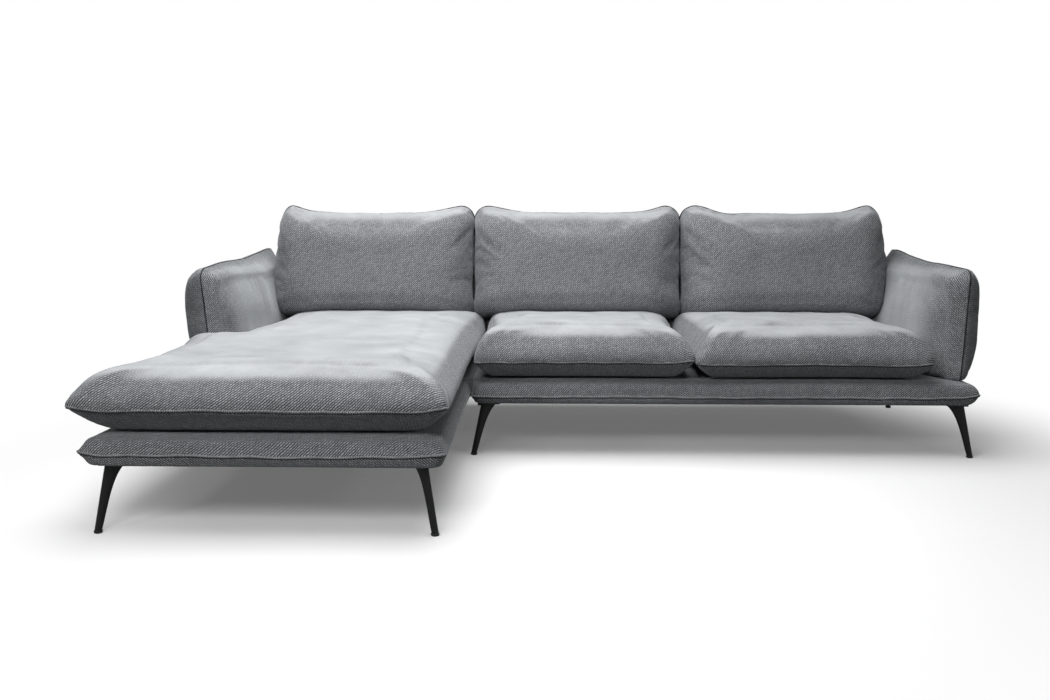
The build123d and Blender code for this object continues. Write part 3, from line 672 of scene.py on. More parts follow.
def sew(name, path, closed, body, radius, fabric, painted_highlight=0.0):
    count = len(path)
    steps = [(i, i + 1) for i in range(count - 1)]
    if closed:
        steps.append((count - 1, 0))
    mesh = bpy.data.meshes.new(name)
    mesh.from_pydata([tuple(p) for p in path + wander(path)], steps, [])
    tube = bpy.data.objects.new(name, mesh)
    scene.collection.objects.link(tube)
    pick(tube)
    bpy.ops.object.convert(target="CURVE")
    tube.data.bevel_depth = radius
    tube.data.bevel_resolution = 2
    tube.data.use_fill_caps = True
    bpy.ops.object.convert(target="MESH")
    bpy.ops.object.shade_smooth()
    tube = bpy.context.active_object
    tube.name = name
    # A tube takes an even painted highlight, of the share given
    note_highlit(tube.data, np.full(len(tube.data.vertices), painted_highlight))
    tube.data.materials.append(fabric)
    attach(tube, body)


def sew_lip(name, edge, closed, body, lip_at, shadow_line_at):
    """The lip along a level seam and the painted shadow line below it; both places are outwards and up.
    """
    lip = beside(edge, closed, UP, *lip_at)
    shadow_line = beside(edge, closed, UP, *shadow_line_at)
    sew(f"{name}_lip", lip, closed, body, LIP_RADIUS, lip_fabric, LIP_HIGHLIT)
    sew(f"{name}_stitches", shadow_line, closed, body, SHADOW_LINE_RADIUS, seam_shade_fabric)


print("radii of lip, stitches and piping:", LIP_RADIUS, SHADOW_LINE_RADIUS, PIPING_RADIUS)

# %% [markdown]
# ## Finishing a soft piece
# Every stuffed piece ends in the same way: one subdivision rounds the mesh, the unevenness and the
# gathers are added, the painted highlight on up-facing faces is noted, the piece is told which CAD
# body carries it, and the CAD solids it stands for are hidden.

# %% Finish a soft piece
SETTLED_FADE = 0.02
# Upward normals between which the painted highlight fades in
HIGHLIT_FROM, HIGHLIT_FULL = 0.72, 0.99


def finish_soft(piece, body, stands_for, path, tips, fill, depth, painted_highlight, inner_highlight=None):
    apply_modifier(piece, "SUBSURF", levels=1, render_levels=1)
    mesh = piece.data
    places = points_of(mesh)
    settled = ease(places[:, 2], FLOOR_OF_FABRIC, FLOOR_OF_FABRIC + SETTLED_FADE) * off_deck(places)
    folds = gathers(places, normals_of(mesh), path, tips, depth) * settled[:, None]
    set_points(mesh, places + wander(places) + folds)
    # Painted highlight on faces that look up and, where given, on the arm's inner panel
    highlit = painted_highlight * ease(normals_of(mesh)[:, 2], HIGHLIT_FROM, HIGHLIT_FULL)
    if inner_highlight is not None:
        highlit = np.maximum(highlit, inner_highlight(places))
    note_highlit(mesh, highlit)
    bpy.ops.object.shade_smooth()
    mesh.materials.append(woven_fabric)
    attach(piece, body)
    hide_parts(*stands_for)
    print(piece.name, "triangles:", 2 * len(mesh.polygons))


def face_sides(mesh, origin, normal):
    """1 for faces in front of the seam plane, 0 for those behind it."""
    return ((read(mesh.polygons, "center", 3) - origin) @ normal > 0).astype(int)


print("faces count as brushed from an upward normal of", HIGHLIT_FROM)

# %% [markdown]
# ## Seat cushions
# Each seat is a wide flat pillow: a top panel and a bottom panel sewn together all round, filled with
# foam and fibre. The seam lies 68 mm above the deck. The bottom rests on the base, so only the top and
# the upper part of the sides may swell, and not where a back cushion stands on it or where the arm
# comes close. The corners that show are thinned and turned up.

# %% Fill out a seat and lower its seam
SEAT_SEAM_RISE = 0.068
SEAT_CROWN = 0.107
SHOULDER_FULLNESS = 1.5
BELLY_FULLNESS = 1.9
BELLY_INSET = {"chaise": 0.125, "left": 0.09, "right": 0.09}
# The underside's edge hovers, which leaves a dark slot over the base
UNDER_SLOT = 0.008
UNDER_CLEARANCE = 0.0006
seat_seam_z = deck_z + SEAT_SEAM_RISE


def filled_out(places, path, front_y, belly_inset):
    """Fuller shoulders above the seam and a fuller belly below it."""
    inset = nearest(path * FLAT, places * FLAT)[1]
    height = places[:, 2] - seat_seam_z
    share = np.clip(height / SEAT_CROWN, 0, 1)
    fullness = SHOULDER_FULLNESS + 0.1 * ease(places[:, 1], front_y + 0.12, front_y + 0.45)
    shoulder = SEAT_CROWN * (1 - (1 - share) ** fullness - share)
    belly = SEAT_SEAM_RISE * (1 - (1 - np.clip(inset / belly_inset, 0, 1)) ** BELLY_FULLNESS)
    lowest = SEAT_SEAM_RISE - UNDER_SLOT * (1 - ease(inset, 0.115, 0.175)) - UNDER_CLEARANCE
    below = np.maximum(np.where(height < -0.002, np.minimum(height, -belly), height), -lowest)
    shaped = places.copy()
    shaped[:, 2] = seat_seam_z + np.where(height > 0, height + shoulder, below)
    return shaped


def sunk(places, low_z, seam_z, high_z, depth):
    """The seam lowered, and the fabric beside it with it."""
    near_seam = ease(places[:, 2], low_z, seam_z) * (1 - ease(places[:, 2], seam_z, high_z))
    return places - UP * (depth * near_seam)[:, None]


print("seat seam at", round(seat_seam_z, 3), "m")

# %% Sew and stuff one seat
SEAT_VOXEL = {"chaise": 0.0125, "left": 0.0105, "right": 0.0105}
SEAT_CAP = 0.012
# The last entry is the strength of the painted highlight on faces that look up
SEAT_FINISH = {"fill": 0.75, "depth": 0.0011, "painted_highlight": 1.0}
SEAT_SIDE_ROOM = 0.001
SEAT_TIP_SLOPES = (1.6, 1.15)
SEAT_EAR_REACH = 0.05
# Where the lip and the painted shadow line below it lie, outwards and up from the seam
SEAT_LIP_AT = (-0.0024, 0.0016)
SEAT_SHADOW_LINE_AT = (-0.0022, -0.0032)
BACK_CUSHION_TOE_Y = 0.56
arm_front_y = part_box("chaise_arm_cover")[0].y
arm_inner_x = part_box("chaise_arm_cover")[1].x
# How far the seam sits below the drawn one
SEAT_SINK = {"chaise": 0.0, "left": 0.007, "right": 0.012}
# How each front corner's ear is pushed: left one, right one
SEAT_EARS = {
    "chaise": ((-0.007, -0.007, 0.012), (0.004, -0.006, 0.01)),
    "left": ((0.0, 0.0, 0.0), (0.0, -0.006, 0.01)),
    "right": ((0.0, -0.006, 0.005), (-0.006, -0.005, 0.009)),
}


def make_seat(seat):
    node = f"{seat}_seat_cover"
    piece, start, low, high = copy_form(node, f"{seat}_seat_cushion")
    path, closed = seam_path(piece.data, np.abs(start[:, 2] - seat_seam_z) < LEVEL_SLACK)
    places, to_seam = remeshed(piece, SEAT_VOXEL[seat], path)
    held = (places[:, 2] < deck_z + 0.004) | (to_seam < SEAM_HELD)
    freedom = ease(places[:, 2], seat_seam_z - 0.04, seat_seam_z + 0.01) * ease(to_seam, 0.006, 0.06)
    freedom *= 1 - ease(places[:, 1], BACK_CUSHION_TOE_Y - 0.09, BACK_CUSHION_TOE_Y)
    if seat == "chaise":
        beside_arm = ease(places[:, 1], arm_front_y - 0.09, arm_front_y - 0.03)
        beside_arm *= 1 - ease(places[:, 0], arm_inner_x + 0.03, arm_inner_x + 0.1)
        freedom *= 1 - beside_arm
    swollen = places + stuffed(piece, held, freedom, SEAT_CAP)
    swollen[:, 0] = np.clip(swollen[:, 0], low[0] - SEAT_SIDE_ROOM, high[0] + SEAT_SIDE_ROOM)
    corners, tips, ears = front_ears(low, high, seat_seam_z, SEAT_EARS[seat], SEAT_EAR_REACH)
    sink = SEAT_SINK[seat]
    shaped = filled_out(swollen, path, low[1], BELLY_INSET[seat])
    shaped = sunk(shaped, deck_z, seat_seam_z, seat_seam_z + SEAT_CROWN, sink)
    set_points(piece.data, pushed(thin_corners(shaped, seat_seam_z - sink, tips, *SEAT_TIP_SLOPES), ears))
    edge = pushed(path - UP * sink, ears)
    lay_weave(piece, face_sides(piece.data, UP * (seat_seam_z - sink), UP), (1, 0, 0), (0, 1, 0))
    finish_soft(piece, f"{seat}_seat", [node, f"{seat}_seat_core"], edge, corners, **SEAT_FINISH)
    sew_lip(f"{seat}_seat", edge, closed, f"{seat}_seat", SEAT_LIP_AT, SEAT_SHADOW_LINE_AT)


print("seats swell by at most", SEAT_CAP, "m")

# %% Make the three seats
for seat in ("chaise", "left", "right"):
    make_seat(seat)

# %% [markdown]
# ## Back cushions
# Loose pillows that lean on the backs. Their seam runs round a leaning plane near the rear face, so
# nearly all of the filling bulges forwards. The foot stands on the seat and stays as it is. The top
# corners rise into soft ears, the free sides draw in towards the top, and the right cushion has a dent
# where a hand has patted it.

# %% Draw a back cushion into its worn form
BACK_LEAN = math.radians(12)
EAR_INSET, EAR_LIFT = 0.055, 0.02
EAR_WIDTH, EAR_DEPTH = 0.08, 0.032
CORNER_INSET, CORNER_PUSH, TOP_REACH = 0.018, 0.004, 0.04
TOE_PUSH, TOE_REACH = 0.011, 0.045
lean_up = np.array((0, math.sin(BACK_LEAN), math.cos(BACK_LEAN)))
lean_front = np.array((0, -math.cos(BACK_LEAN), math.sin(BACK_LEAN)))
# How far the left and the right side draw in at the top
SIDE_DRAW = {"chaise": (0.036, 0), "left": (0, 0), "right": (0, 0.032)}
# Sides that meet another cushion stand out a little, and more at their waist: left one, right one
SIDE_MEETS = {"chaise": (0, 1), "left": (1, 1), "right": (1, 0)}
SIDE_SWELL = 0.0065
WAIST_SWELL, WAIST_AT, WAIST_SPAN = 0.0135, 0.53, 0.75


def drawn_out(spots, seat, low, high, top, foot):
    """Sides drawn in or filled out, ears at the top, fuller corners, and dents in the right cushion."""
    tall = float(top @ lean_up) - foot
    middle = (low[0] + high[0]) / 2
    half = (high[0] - low[0]) / 2
    height = spots @ lean_up - foot
    side = (spots[:, 0] - middle) / half
    shaped = spots.copy()
    left_draw, right_draw = SIDE_DRAW[seat]
    rise = ease(height, 0.5 * tall, 0.97 * tall)
    shaped[:, 0] += rise * np.where(side < 0, left_draw, -right_draw) * np.abs(side) ** 3
    left_meets, right_meets = SIDE_MEETS[seat]
    waist = np.cos(math.pi * np.clip((height / tall - WAIST_AT) / WAIST_SPAN, -0.5, 0.5)) ** 2
    swell = (SIDE_SWELL + WAIST_SWELL * waist) * np.abs(side) ** 4
    shaped[:, 0] += np.where(side < 0, -left_meets, right_meets) * swell
    below_top = (spots - top) @ lean_up / EAR_WIDTH
    in_front = (spots - top) @ lean_front / EAR_DEPTH
    for x in (low[0] + EAR_INSET, high[0] - EAR_INSET):
        near = ((spots[:, 0] - x) / EAR_WIDTH) ** 2 + below_top**2 + in_front**2
        shaped += lean_up * (EAR_LIFT * np.exp(-near))[:, None]
    pushes = []
    for x, way in ((low[0], -1), (high[0], 1)):
        aside = way * np.array((1, 0, 0))
        inset = (x - way * CORNER_INSET - top[0], 0, 0)
        toe = top - lean_up * (tall - CORNER_INSET) + inset
        pushes.append((toe, TOE_PUSH * (aside - lean_up), TOE_REACH))
        corner = top - lean_up * CORNER_INSET + inset
        pushes.append((corner, CORNER_PUSH * (aside + lean_up), TOP_REACH))
    if seat == "right":
        pushes.append((top + (low[0] + 0.2 - top[0], -0.05, -0.01), (0, 0.006, -0.012), 0.075))
        pushes.append((top + (low[0] + 0.33 - top[0], -0.13, -0.09), (0, 0.008, 0), 0.09))
    return pushed(shaped, pushes)


print("back cushions lean", round(math.degrees(BACK_LEAN)), "degrees")

# %% Sew and stuff one back cushion
BACK_VOXEL = 0.0105
BACK_CAP = 0.014
# The last entry is the strength of the painted highlight on faces that look up
BACK_FINISH = {"fill": 0.7, "depth": 0.001, "painted_highlight": 0.8}
BACK_SIDE_ROOM = 0.002
BACK_CORNER_INSET = 0.03
PIPING_OUT = 0.0012


def make_back_cushion(seat):
    node = f"{seat}_back_cushion_cover"
    piece, start, low, high = copy_form(node, f"{seat}_back_cushion")
    ahead = start @ lean_front
    top = start[np.argmax(start @ lean_up)]
    seam_at = float(top @ lean_front)
    path, closed = seam_path(piece.data, np.abs(ahead - seam_at) < 3e-4)
    places, to_seam = remeshed(piece, BACK_VOXEL, path)
    front = places @ lean_front - seam_at
    foot = (start @ lean_up).min()
    height = places @ lean_up - foot
    held = (front < 0.0) | (to_seam < SEAM_HELD) | (height < 0.03)
    freedom = ease(front, 0.0, 0.03) * ease(height, 0.02, 0.09) * ease(to_seam, 0.006, 0.05)
    swollen = places + stuffed(piece, held, freedom, BACK_CAP)
    swollen[:, 0] = np.clip(swollen[:, 0], low[0] - BACK_SIDE_ROOM, high[0] + BACK_SIDE_ROOM)
    set_points(piece.data, drawn_out(swollen, seat, low, high, top, foot))
    edge = drawn_out(path, seat, low, high, top, foot)
    lay_weave(piece, face_sides(piece.data, top, lean_front), (1, 0, 0), lean_up)
    corners = [(x, top[1], top[2]) for x in (low[0] + BACK_CORNER_INSET, high[0] - BACK_CORNER_INSET)]
    body = f"{seat}_back_cushion"
    finish_soft(piece, body, [node, f"{body}_core"], edge, corners, **BACK_FINISH)
    piping = beside(edge, closed, lean_front, PIPING_OUT, 0)
    # The piping takes the very dark fabric: painted shade
    sew(f"{body}_piping", piping, closed, body, PIPING_RADIUS, seam_shade_fabric)


print("back cushions swell by at most", BACK_CAP, "m")

# %% Make the three back cushions
for seat in ("chaise", "left", "right"):
    make_back_cushion(seat)

# %% [markdown]
# ## Bases
# A slim upholstered frame with its own seam all round, 30 mm above the underside. The deck on top
# carries the cushions and the rim below carries the legs, so both are held and only the flanks swell.
# The corners thin to small ears like those of the cushions. Where the two bases meet, their flanks are
# square and butt together.

# %% Even out the rim, the deck and the meeting flank
RIM_FULLER = 0.4
UNDERSIDE_RECESS = 0.0004
FELT_COVER = 0.004
BUTTED_SHARE = 0.97


def fuller_rim(places, path, seam_z, low_z):
    """The rim below the seam drawn out towards it, and the underside made flat."""
    spot, inset = nearest(path * FLAT, places * FLAT)
    under = places[:, 2] < seam_z - 0.004
    fuller = RIM_FULLER * under * (1 - ease(inset, 0.03, 0.06))
    shaped = places + (path[spot] - places) * FLAT * fuller[:, None]
    flat = under & (shaped[:, 2] < low_z + 0.009) & (inset > 0.012)
    shaped[flat, 2] = low_z + UNDERSIDE_RECESS
    return shaped


def over_felt(places, module, seam_z):
    """The deck lifted to cover the felt layer."""
    felt_low, felt_high = box_of(f"{module}_deck_felt")
    past_felt = np.maximum(np.maximum(felt_low - places, places - felt_high), 0) * FLAT
    near = 1 - ease(np.linalg.norm(past_felt, axis=1), 0.008, 0.03)
    near *= places[:, 2] > seam_z + 0.012
    shaped = places.copy()
    shaped[:, 2] += np.maximum(felt_high[2] + FELT_COVER - places[:, 2], 0) * near
    return shaped


def butted(places, meets_x, seam_z):
    """The flank that meets the other base, drawn square up to it."""
    short = meets_x - places[:, 0]
    near = ease(places[:, 1], -0.015, 0.05) * (places[:, 2] > seam_z - 0.012)
    near *= 1 - ease(np.abs(short), 0.05, 0.075)
    shaped = places.copy()
    shaped[:, 0] += short * near * BUTTED_SHARE
    return shaped


print("the deck covers its felt by", FELT_COVER, "m")

# %% Wrap the two bases
BASE_SEAM_RISE = 0.03
BASE_VOXEL = 0.013
DECK_SKIN = 0.004
BASE_CAP = 0.007
BASE_ROOM = (0.0005, 0.004, 0)
# The last entry is the strength of the painted highlight on faces that look up
BASE_FINISH = {"fill": 0.85, "depth": 0.0008, "painted_highlight": 0.12}
BASE_TIP_SLOPES = (1.3, 1.5)
BASE_EAR_REACH = 0.045
BASE_SINK_REACH = 0.026
# Where the lip and the painted shadow line below it lie, outwards and up from the seam
BASE_LIP_AT = (-0.0014, 0.0013)
BASE_SHADOW_LINE_AT = (-0.0016, -0.003)
BASE_SINK = {"chaise": 0.0, "two_seater": 0.008}
BASE_EARS = {
    "chaise": ((-0.006, -0.004, 0.01), (0.0, -0.002, 0.005)),
    "two_seater": ((0.0, 0.0, 0.0), (0.008, -0.003, 0.01)),
}


def make_base(module):
    node = f"{module}_base_cover"
    piece, start, low, high = copy_form(node, f"{module}_base")
    seam_z = low[2] + BASE_SEAM_RISE
    path, closed = seam_path(piece.data, np.abs(start[:, 2] - seam_z) < LEVEL_SLACK)
    rim = seam_path(piece.data, np.abs(start[:, 2] - low[2]) < LEVEL_SLACK)[0]
    dust_low, dust_high = box_of(f"{module}_dust_cover")
    filler_low = (*(dust_low[:2] - FILLER_OVER), low[2] + FILLER_LIFT)
    fill_hollow(piece, filler_low, (*(dust_high[:2] + FILLER_OVER), high[2] - DECK_SKIN))
    places, to_seam = remeshed(piece, BASE_VOXEL, path, rim)
    held = (places[:, 2] > high[2] - 0.006) | (places[:, 2] < low[2] + 0.004) | (to_seam < SEAM_HELD)
    freedom = ease(places[:, 2], low[2], low[2] + 0.02)
    freedom *= 1 - ease(places[:, 2], high[2] - 0.03, high[2] - 0.006)
    freedom *= ease(to_seam, 0.004, 0.03)
    swollen = places + stuffed(piece, held, freedom, BASE_CAP)
    swollen = np.clip(swollen, low - BASE_ROOM, high + BASE_ROOM)
    corners, tips, ears = front_ears(low, high, seam_z, BASE_EARS[module], BASE_EAR_REACH)
    shaped = pushed(thin_corners(swollen, seam_z, tips, *BASE_TIP_SLOPES), ears)
    shaped = over_felt(fuller_rim(shaped, path, seam_z, low[2]), module, seam_z)
    shaped = butted(shaped, high[0] if module == "chaise" else low[0], seam_z)
    sink = BASE_SINK[module]
    set_points(piece.data, sunk(shaped, low[2], seam_z, seam_z + BASE_SINK_REACH, sink))
    edge = pushed(path, ears) - UP * sink
    lay_weave(piece, face_sides(piece.data, UP * (seam_z - sink), UP), (1, 0, 0), (0, 1, 0))
    finish_soft(piece, f"{module}_frame", [node], edge, corners, **BASE_FINISH)
    sew_lip(f"{module}_base", edge, closed, f"{module}_frame", BASE_LIP_AT, BASE_SHADOW_LINE_AT)


for module in ("chaise", "two_seater"):
    make_base(module)

# %% [markdown]
# ## Arms
# Low arms that lean outwards, sewn from an inner and an outer panel. The seam climbs the front, runs
# along the ridge and goes down the rear. The ridge falls towards the front corner and sags a little on
# the way. The outer panel is fuller than the inner one, which keeps clear of the cushions and gets a
# painted highlight where the light falls on it.

# %% Sew and stuff the two arms
ARM_LEAN = math.radians(3.5)
ARM_VOXEL = 0.0105
ARM_SAG = {"chaise": 0.001, "two_seater": 0.007}
ARM_FRONT_DROP = 0.009
ARM_REAR_FALL = 0.008
ARM_FULLER = {"chaise": 0.65, "two_seater": 0.25}
ARM_SEAM_OUT = {"chaise": 0.0, "two_seater": 0.015}
ARM_RIDGE = 0.72
ARM_CAP = 0.012
# The last entry is the strength of the painted highlight on faces that look up
ARM_FINISH = {"fill": 0.7, "depth": 0.001, "painted_highlight": 0.7}
# Painted highlight on the inner panel of an arm, where the light falls on it
ARM_INNER_HIGHLIGHT = 0.6
BOARD_COVER = 0.013


def over_board(places, inside, side, frame_low, frame_high):
    """The inner panel moved out far enough to cover the arm's board."""
    board_face = max(-side * frame_low[0], -side * frame_high[0])
    near = ease(places[:, 1], frame_low[1] - 0.07, frame_low[1] - 0.025) * inside
    near *= 1 - ease(places[:, 1], frame_high[1] + 0.015, frame_high[1] + 0.055)
    near *= 1 - ease(places[:, 2], frame_high[2] + 0.022, frame_high[2] + 0.06)
    shaped = places.copy()
    shaped[:, 0] -= side * np.maximum(board_face + BOARD_COVER + side * places[:, 0], 0) * near
    return shaped


def make_arm(module, side):
    node = f"{module}_arm_cover"
    piece, start, low, high = copy_form(node, f"{module}_arm")
    outward = np.array((side * math.cos(ARM_LEAN), 0, -math.sin(ARM_LEAN)))
    origin = start[np.argmax(start[:, 2])]
    path, closed = seam_path(piece.data, np.abs((start - origin) @ outward) < LEANING_SLACK)
    frame_low, frame_high = box_of(f"{module}_arm_frame")
    fill_hollow(piece, (*(frame_low[:2] - FILLER_OVER), low[2] + FILLER_LIFT), frame_high + FILLER_OVER)
    places, to_seam = remeshed(piece, ARM_VOXEL, path)
    out = (places - origin) @ outward
    held = (places[:, 2] < low[2] + 0.006) | (to_seam < SEAM_HELD)
    freedom = ease(places[:, 2], low[2], low[2] + 0.05) * ease(to_seam, 0.006, 0.05)
    inner_free = ease(places[:, 2], low[2] + 0.15, low[2] + 0.24) * (1 - ease(places[:, 1], 0.5, 0.6))
    freedom *= np.where(out > 0, 1, inner_free)
    swollen = places + stuffed(piece, held, freedom, ARM_CAP)
    swollen[:, 2] = np.maximum(swollen[:, 2], low[2])
    front_top = path[np.argmin(np.hypot(path[:, 1] - low[1], path[:, 2] - high[2]))]

    def sagged(spots):
        rise = spots[:, 2] - low[2]
        past_seam = (spots - origin) @ outward
        shift = ARM_SEAM_OUT[module] * ease(past_seam, -0.06, -0.005) * (1 - 0.4 * ease(rise, 0.1, 0.38))
        bulge = np.maximum(past_seam, 0) * ARM_FULLER[module] * (0.15 + 0.85 * ease(rise, 0, 0.14))
        shaped = spots + outward * (shift + bulge)[:, None]
        along = np.clip((spots[:, 1] - front_top[1]) / ARM_RIDGE, 0, 1)
        fall = ARM_SAG[module] * np.sin(math.pi * along) + ARM_FRONT_DROP * (1 - along)
        fall += ARM_REAR_FALL * ease(spots[:, 1], 0.79, 0.88)
        shaped[:, 2] = np.maximum(shaped[:, 2] - fall * ease(rise, 0.12, 0.38), low[2])
        return shaped

    # The painted highlight over the inner panel, fading in from near its front
    def inner_highlight(spots):
        inside = ease(-((spots - origin) @ outward), 0.002, 0.03)
        return ARM_INNER_HIGHLIGHT * inside * ease(spots[:, 1], low[1] + 0.07, low[1] + 0.3)

    set_points(piece.data, over_board(sagged(swollen), out < 0, side, frame_low, frame_high))
    edge = sagged(path)
    lay_weave(piece, face_sides(piece.data, origin, outward), (0, 1, 0), (0, 0, 1))
    finish_soft(piece, f"{module}_frame", [node], edge, [tuple(front_top)], **ARM_FINISH, inner_highlight=inner_highlight)
    # The piping takes the very dark fabric: painted shade
    sew(f"{module}_arm_piping", edge, closed, f"{module}_frame", PIPING_RADIUS, seam_shade_fabric)


make_arm("chaise", -1)
make_arm("two_seater", 1)

# %% [markdown]
# ## Backs
# Low padded backs between the arms, mostly hidden by the loose cushions. The front leans, the ridge is
# sewn, and the plain rear panel swells a little.

# %% Sew and stuff the two backs
BACK_FRAME_VOXEL = 0.0125
BACK_FRAME_CAP = 0.008
BACK_FRAME_ROOM = (0, 0.006, 0)
# The last entry is the strength of the painted highlight on faces that look up
BACK_FRAME_FINISH = {"fill": 0.7, "depth": 0.0008, "painted_highlight": 0.7}
BACK_SEAM_END = 1.225


def make_back(module):
    node = f"{module}_back_cover"
    piece, start, low, high = copy_form(node, f"{module}_back")
    ridge = start[np.argmax(start[:, 2])]
    on_ridge = (np.abs(start[:, 1:] - ridge[1:]) < LEVEL_SLACK).all(axis=1)
    path, closed = seam_path(piece.data, on_ridge)
    frame_low, frame_high = box_of(f"{module}_back_frame")
    web_low = box_of(f"{module}_back_webbing")[0]
    filler_low = (frame_low[0] - FILLER_OVER, web_low[1] - FILLER_OVER, low[2] + FILLER_LIFT)
    fill_hollow(piece, filler_low, frame_high + FILLER_OVER)
    places, to_seam = remeshed(piece, BACK_FRAME_VOXEL, path)
    behind = places[:, 1] - ridge[1]
    held = (places[:, 2] < low[2] + 0.006) | (to_seam < SEAM_HELD) | (behind < -0.02)
    freedom = ease(places[:, 2], low[2], low[2] + 0.06) * ease(behind, 0.0, 0.02)
    swollen = places + stuffed(piece, held, freedom, BACK_FRAME_CAP)
    set_points(piece.data, np.clip(swollen, low, high + BACK_FRAME_ROOM))
    rearward = np.array((0, 1.0, 0))
    lay_weave(piece, face_sides(piece.data, ridge, rearward), (1, 0, 0), (0, 0, 1))
    finish_soft(piece, f"{module}_frame", [node], path, [], **BACK_FRAME_FINISH)
    shown = path[np.abs(path[:, 0]) < BACK_SEAM_END]
    # The piping takes the very dark fabric: painted shade
    sew(f"{module}_back_piping", shown, closed, f"{module}_frame", PIPING_RADIUS, seam_shade_fabric)


for module in ("chaise", "two_seater"):
    make_back(module)

# %% [markdown]
# ## Hard parts
# The CAD nodes that show keep their shape and get their finish here: satin black powder coat on the
# legs, moulded glides, zinc-plated screws and hooks, pine rails, felt, straps and the black dust cloth
# underneath.

# %% Finish the hard parts


def speckled_material(
    name, dark, light, scale, roughness,
    metallic=0.0, bump_depth=0.0002, specular=0.5, stretch=(1, 1, 1),
):
    material, tree, shader = new_material(name)
    place = add_node(tree, "ShaderNodeTexCoord")
    mapping = add_node(tree, "ShaderNodeMapping")
    mapping.inputs["Scale"].default_value = stretch
    link(place.outputs["Object"], mapping.inputs["Vector"])
    grain = add_node(tree, "ShaderNodeTexNoise")
    set_inputs(grain, {"Scale": scale, "Detail": 6})
    link(mapping.outputs[0], grain.inputs["Vector"])
    colour = mix_colour(tree, "MIX", grain.outputs[0], (*dark, 1), (*light, 1))
    link(colour, shader.inputs["Base Color"])
    low, high = roughness
    rough = math_node(tree, "MULTIPLY_ADD", grain.outputs[0], high - low, low)
    link(rough, shader.inputs["Roughness"])
    add_bump(tree, shader, grain.outputs[0], 0.35, bump_depth)
    set_inputs(shader, {"Metallic": metallic, "Specular IOR Level": specular})
    return material


# Slot: name, dark and light shade, scale of the grain, roughness
HARD_FINISHES = {
    "leg_metal": ("satin_black", (0.004, 0.004, 0.0045), (0.009, 0.009, 0.01), 420, (0.45, 0.6)),
    "glide_plastic": ("glide_plastic", (0.008, 0.008, 0.008), (0.02, 0.02, 0.02), 300, (0.5, 0.7)),
    "plated_steel": ("plated_steel", (0.5, 0.5, 0.49), (0.68, 0.68, 0.66), 160, (0.25, 0.45)),
    "timber": ("pine_rail", (0.42, 0.27, 0.14), (0.72, 0.53, 0.32), 26, (0.55, 0.75)),
    "foam": ("foam", (0.72, 0.66, 0.5), (0.85, 0.79, 0.62), 240, (0.85, 0.95)),
    "webbing": ("strap_webbing", (0.03, 0.03, 0.032), (0.12, 0.12, 0.125), 380, (0.8, 0.95)),
    "felt": ("deck_felt", (0.42, 0.42, 0.41), (0.62, 0.62, 0.6), 200, (0.9, 0.98)),
    "dust_cloth": ("dust_cloth", (0.012, 0.012, 0.013), (0.03, 0.03, 0.032), 500, (0.85, 0.97)),
}
# What differs from the usual settings
HARD_EXTRAS = {
    "leg_metal": {"specular": 0.15},
    "glide_plastic": {"specular": 0.2},
    "plated_steel": {"metallic": 1.0},
    "timber": {"stretch": (1, 1, 6)},
    "foam": {"bump_depth": 0.001},
    "felt": {"bump_depth": 0.001},
}
hard_finishes = {
    slot: speckled_material(*told, **HARD_EXTRAS.get(slot, {})) for slot, told in HARD_FINISHES.items()
}
for part in frame["record"]["subparts"]:
    finish = hard_finishes.get(part["material_slot"])
    if finish:
        mesh = nodes[part["node"]].data
        mesh.materials.clear()
        mesh.materials.append(finish)
print("hard finishes:", sorted(hard_finishes))

# %% [markdown]
# ## Studio
# A pale floor that keeps the sofa's shadow and turns plain white further out, in a surround that is
# white to the camera and in reflections. To the fabric both are dim, so that little light comes from
# below and fronts stay darker than tops. One wide soft light hangs overhead, a weaker one lights the
# chaise's front, and two small ones further out draw the legs' shadows.

# %% Floor
FLOOR_TO_EYE, FLOOR_TO_FABRIC = 0.92, 0.12
WHITE_FROM, WHITE_FULL = 1.25, 2.3
WHITE_LEAST = 0.14


def seen_by_eye(tree):
    """1 for rays from the camera and in reflections or glass, 0 for light that bounces onto the sofa."""
    rays = add_node(tree, "ShaderNodeLightPath")
    seen = math_node(tree, "MAXIMUM", rays.outputs["Is Camera Ray"], rays.outputs["Is Glossy Ray"])
    return math_node(tree, "MAXIMUM", seen, rays.outputs["Is Transmission Ray"])


bpy.ops.object.select_all(action="DESELECT")
bpy.ops.mesh.primitive_plane_add(size=60, location=(0, 0, 0))
floor = bpy.context.active_object
floor.name = "studio_floor"
floor_paint, tree, shader = new_material("studio_white")
set_inputs(shader, {"Roughness": 0.9, "Specular IOR Level": 0.0})
seen = seen_by_eye(tree)
paint = math_node(tree, "MULTIPLY_ADD", seen, FLOOR_TO_EYE - FLOOR_TO_FABRIC, FLOOR_TO_FABRIC)
link(grey(tree, paint), shader.inputs["Base Color"])
spot = add_node(tree, "ShaderNodeTexCoord")
far = add_node(tree, "ShaderNodeVectorMath", operation="LENGTH")
link(spot.outputs["Object"], far.inputs[0])
outside = add_node(tree, "ShaderNodeMapRange", interpolation_type="SMOOTHSTEP")
set_inputs(outside, {"From Min": WHITE_FROM, "From Max": WHITE_FULL, "To Min": WHITE_LEAST})
link(far.outputs["Value"], outside.inputs["Value"])
white = add_node(tree, "ShaderNodeEmission")
blend = add_node(tree, "ShaderNodeMixShader")
link(math_node(tree, "MULTIPLY", seen, outside.outputs["Result"]), blend.inputs[0])
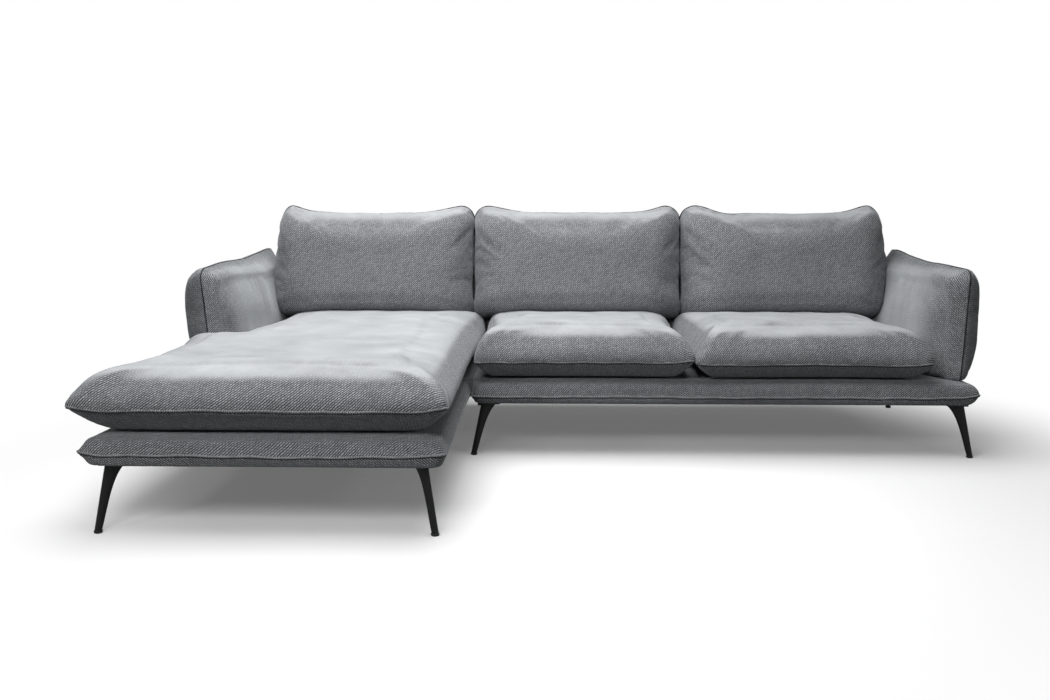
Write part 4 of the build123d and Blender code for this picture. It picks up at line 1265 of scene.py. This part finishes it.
link(shader.outputs[0], blend.inputs[1])
link(white.outputs[0], blend.inputs[2])
link(blend.outputs[0], tree.nodes["Material Output"].inputs["Surface"])
floor.data.materials.append(floor_paint)
print("the floor turns white between", WHITE_FROM, "and", WHITE_FULL, "m")

# %% Surround and lights
AMBIENT = 0.1
world = bpy.data.worlds.new("studio")
scene.world = world
world.use_nodes = True
tree = world.node_tree
sky = tree.nodes["Background"]
sky.inputs["Color"].default_value = (1, 1, 1, 1)
glow = math_node(tree, "MULTIPLY_ADD", seen_by_eye(tree), 1 - AMBIENT, AMBIENT)
link(glow, sky.inputs["Strength"])


def soft_light(name, place, aim, width, depth, power):
    lamp = bpy.data.lights.new(name, "AREA")
    set_values(lamp, shape="RECTANGLE", size=width, size_y=depth, energy=power)
    light = bpy.data.objects.new(name, lamp)
    light.location = place
    light.rotation_euler = (Vector(aim) - Vector(place)).to_track_quat("-Z", "Y").to_euler()
    scene.collection.objects.link(light)


soft_light("overhead", (-0.5, -0.05, 2.7), (-0.2, 0.1, 0.4), 3.2, 2.0, 106)
soft_light("chaise_front", (-0.9, -2.5, 1.75), (-0.8, -0.7, 0.3), 1.2, 0.6, 24)
soft_light("front_left", (-3.6, -4.2, 2.4), (0, 0, 0.4), 0.45, 0.45, 26)
soft_light("front_right", (3.6, -4.2, 2.4), (0, 0, 0.4), 0.45, 0.45, 17)
print("lights:", [light.name for light in bpy.data.lights])

# %% Camera
PHOTO_LENS = 34.29
CAMERA_PLACE = (-0.11, -3.435, 0.891)
CAMERA_PITCH = 8.52
CAMERA_YAW = 1.46
camera_data = bpy.data.cameras.new("photo_camera")
camera_data.lens = PHOTO_LENS
camera_data.sensor_width = 36
camera = bpy.data.objects.new("photo_camera", camera_data)
camera.location = CAMERA_PLACE
camera.rotation_euler = (math.radians(90 - CAMERA_PITCH), 0, math.radians(CAMERA_YAW))
scene.collection.objects.link(camera)
scene.camera = camera
scene.view_settings.view_transform = "Standard"
print("camera at", tuple(round(x, 3) for x in camera.location))
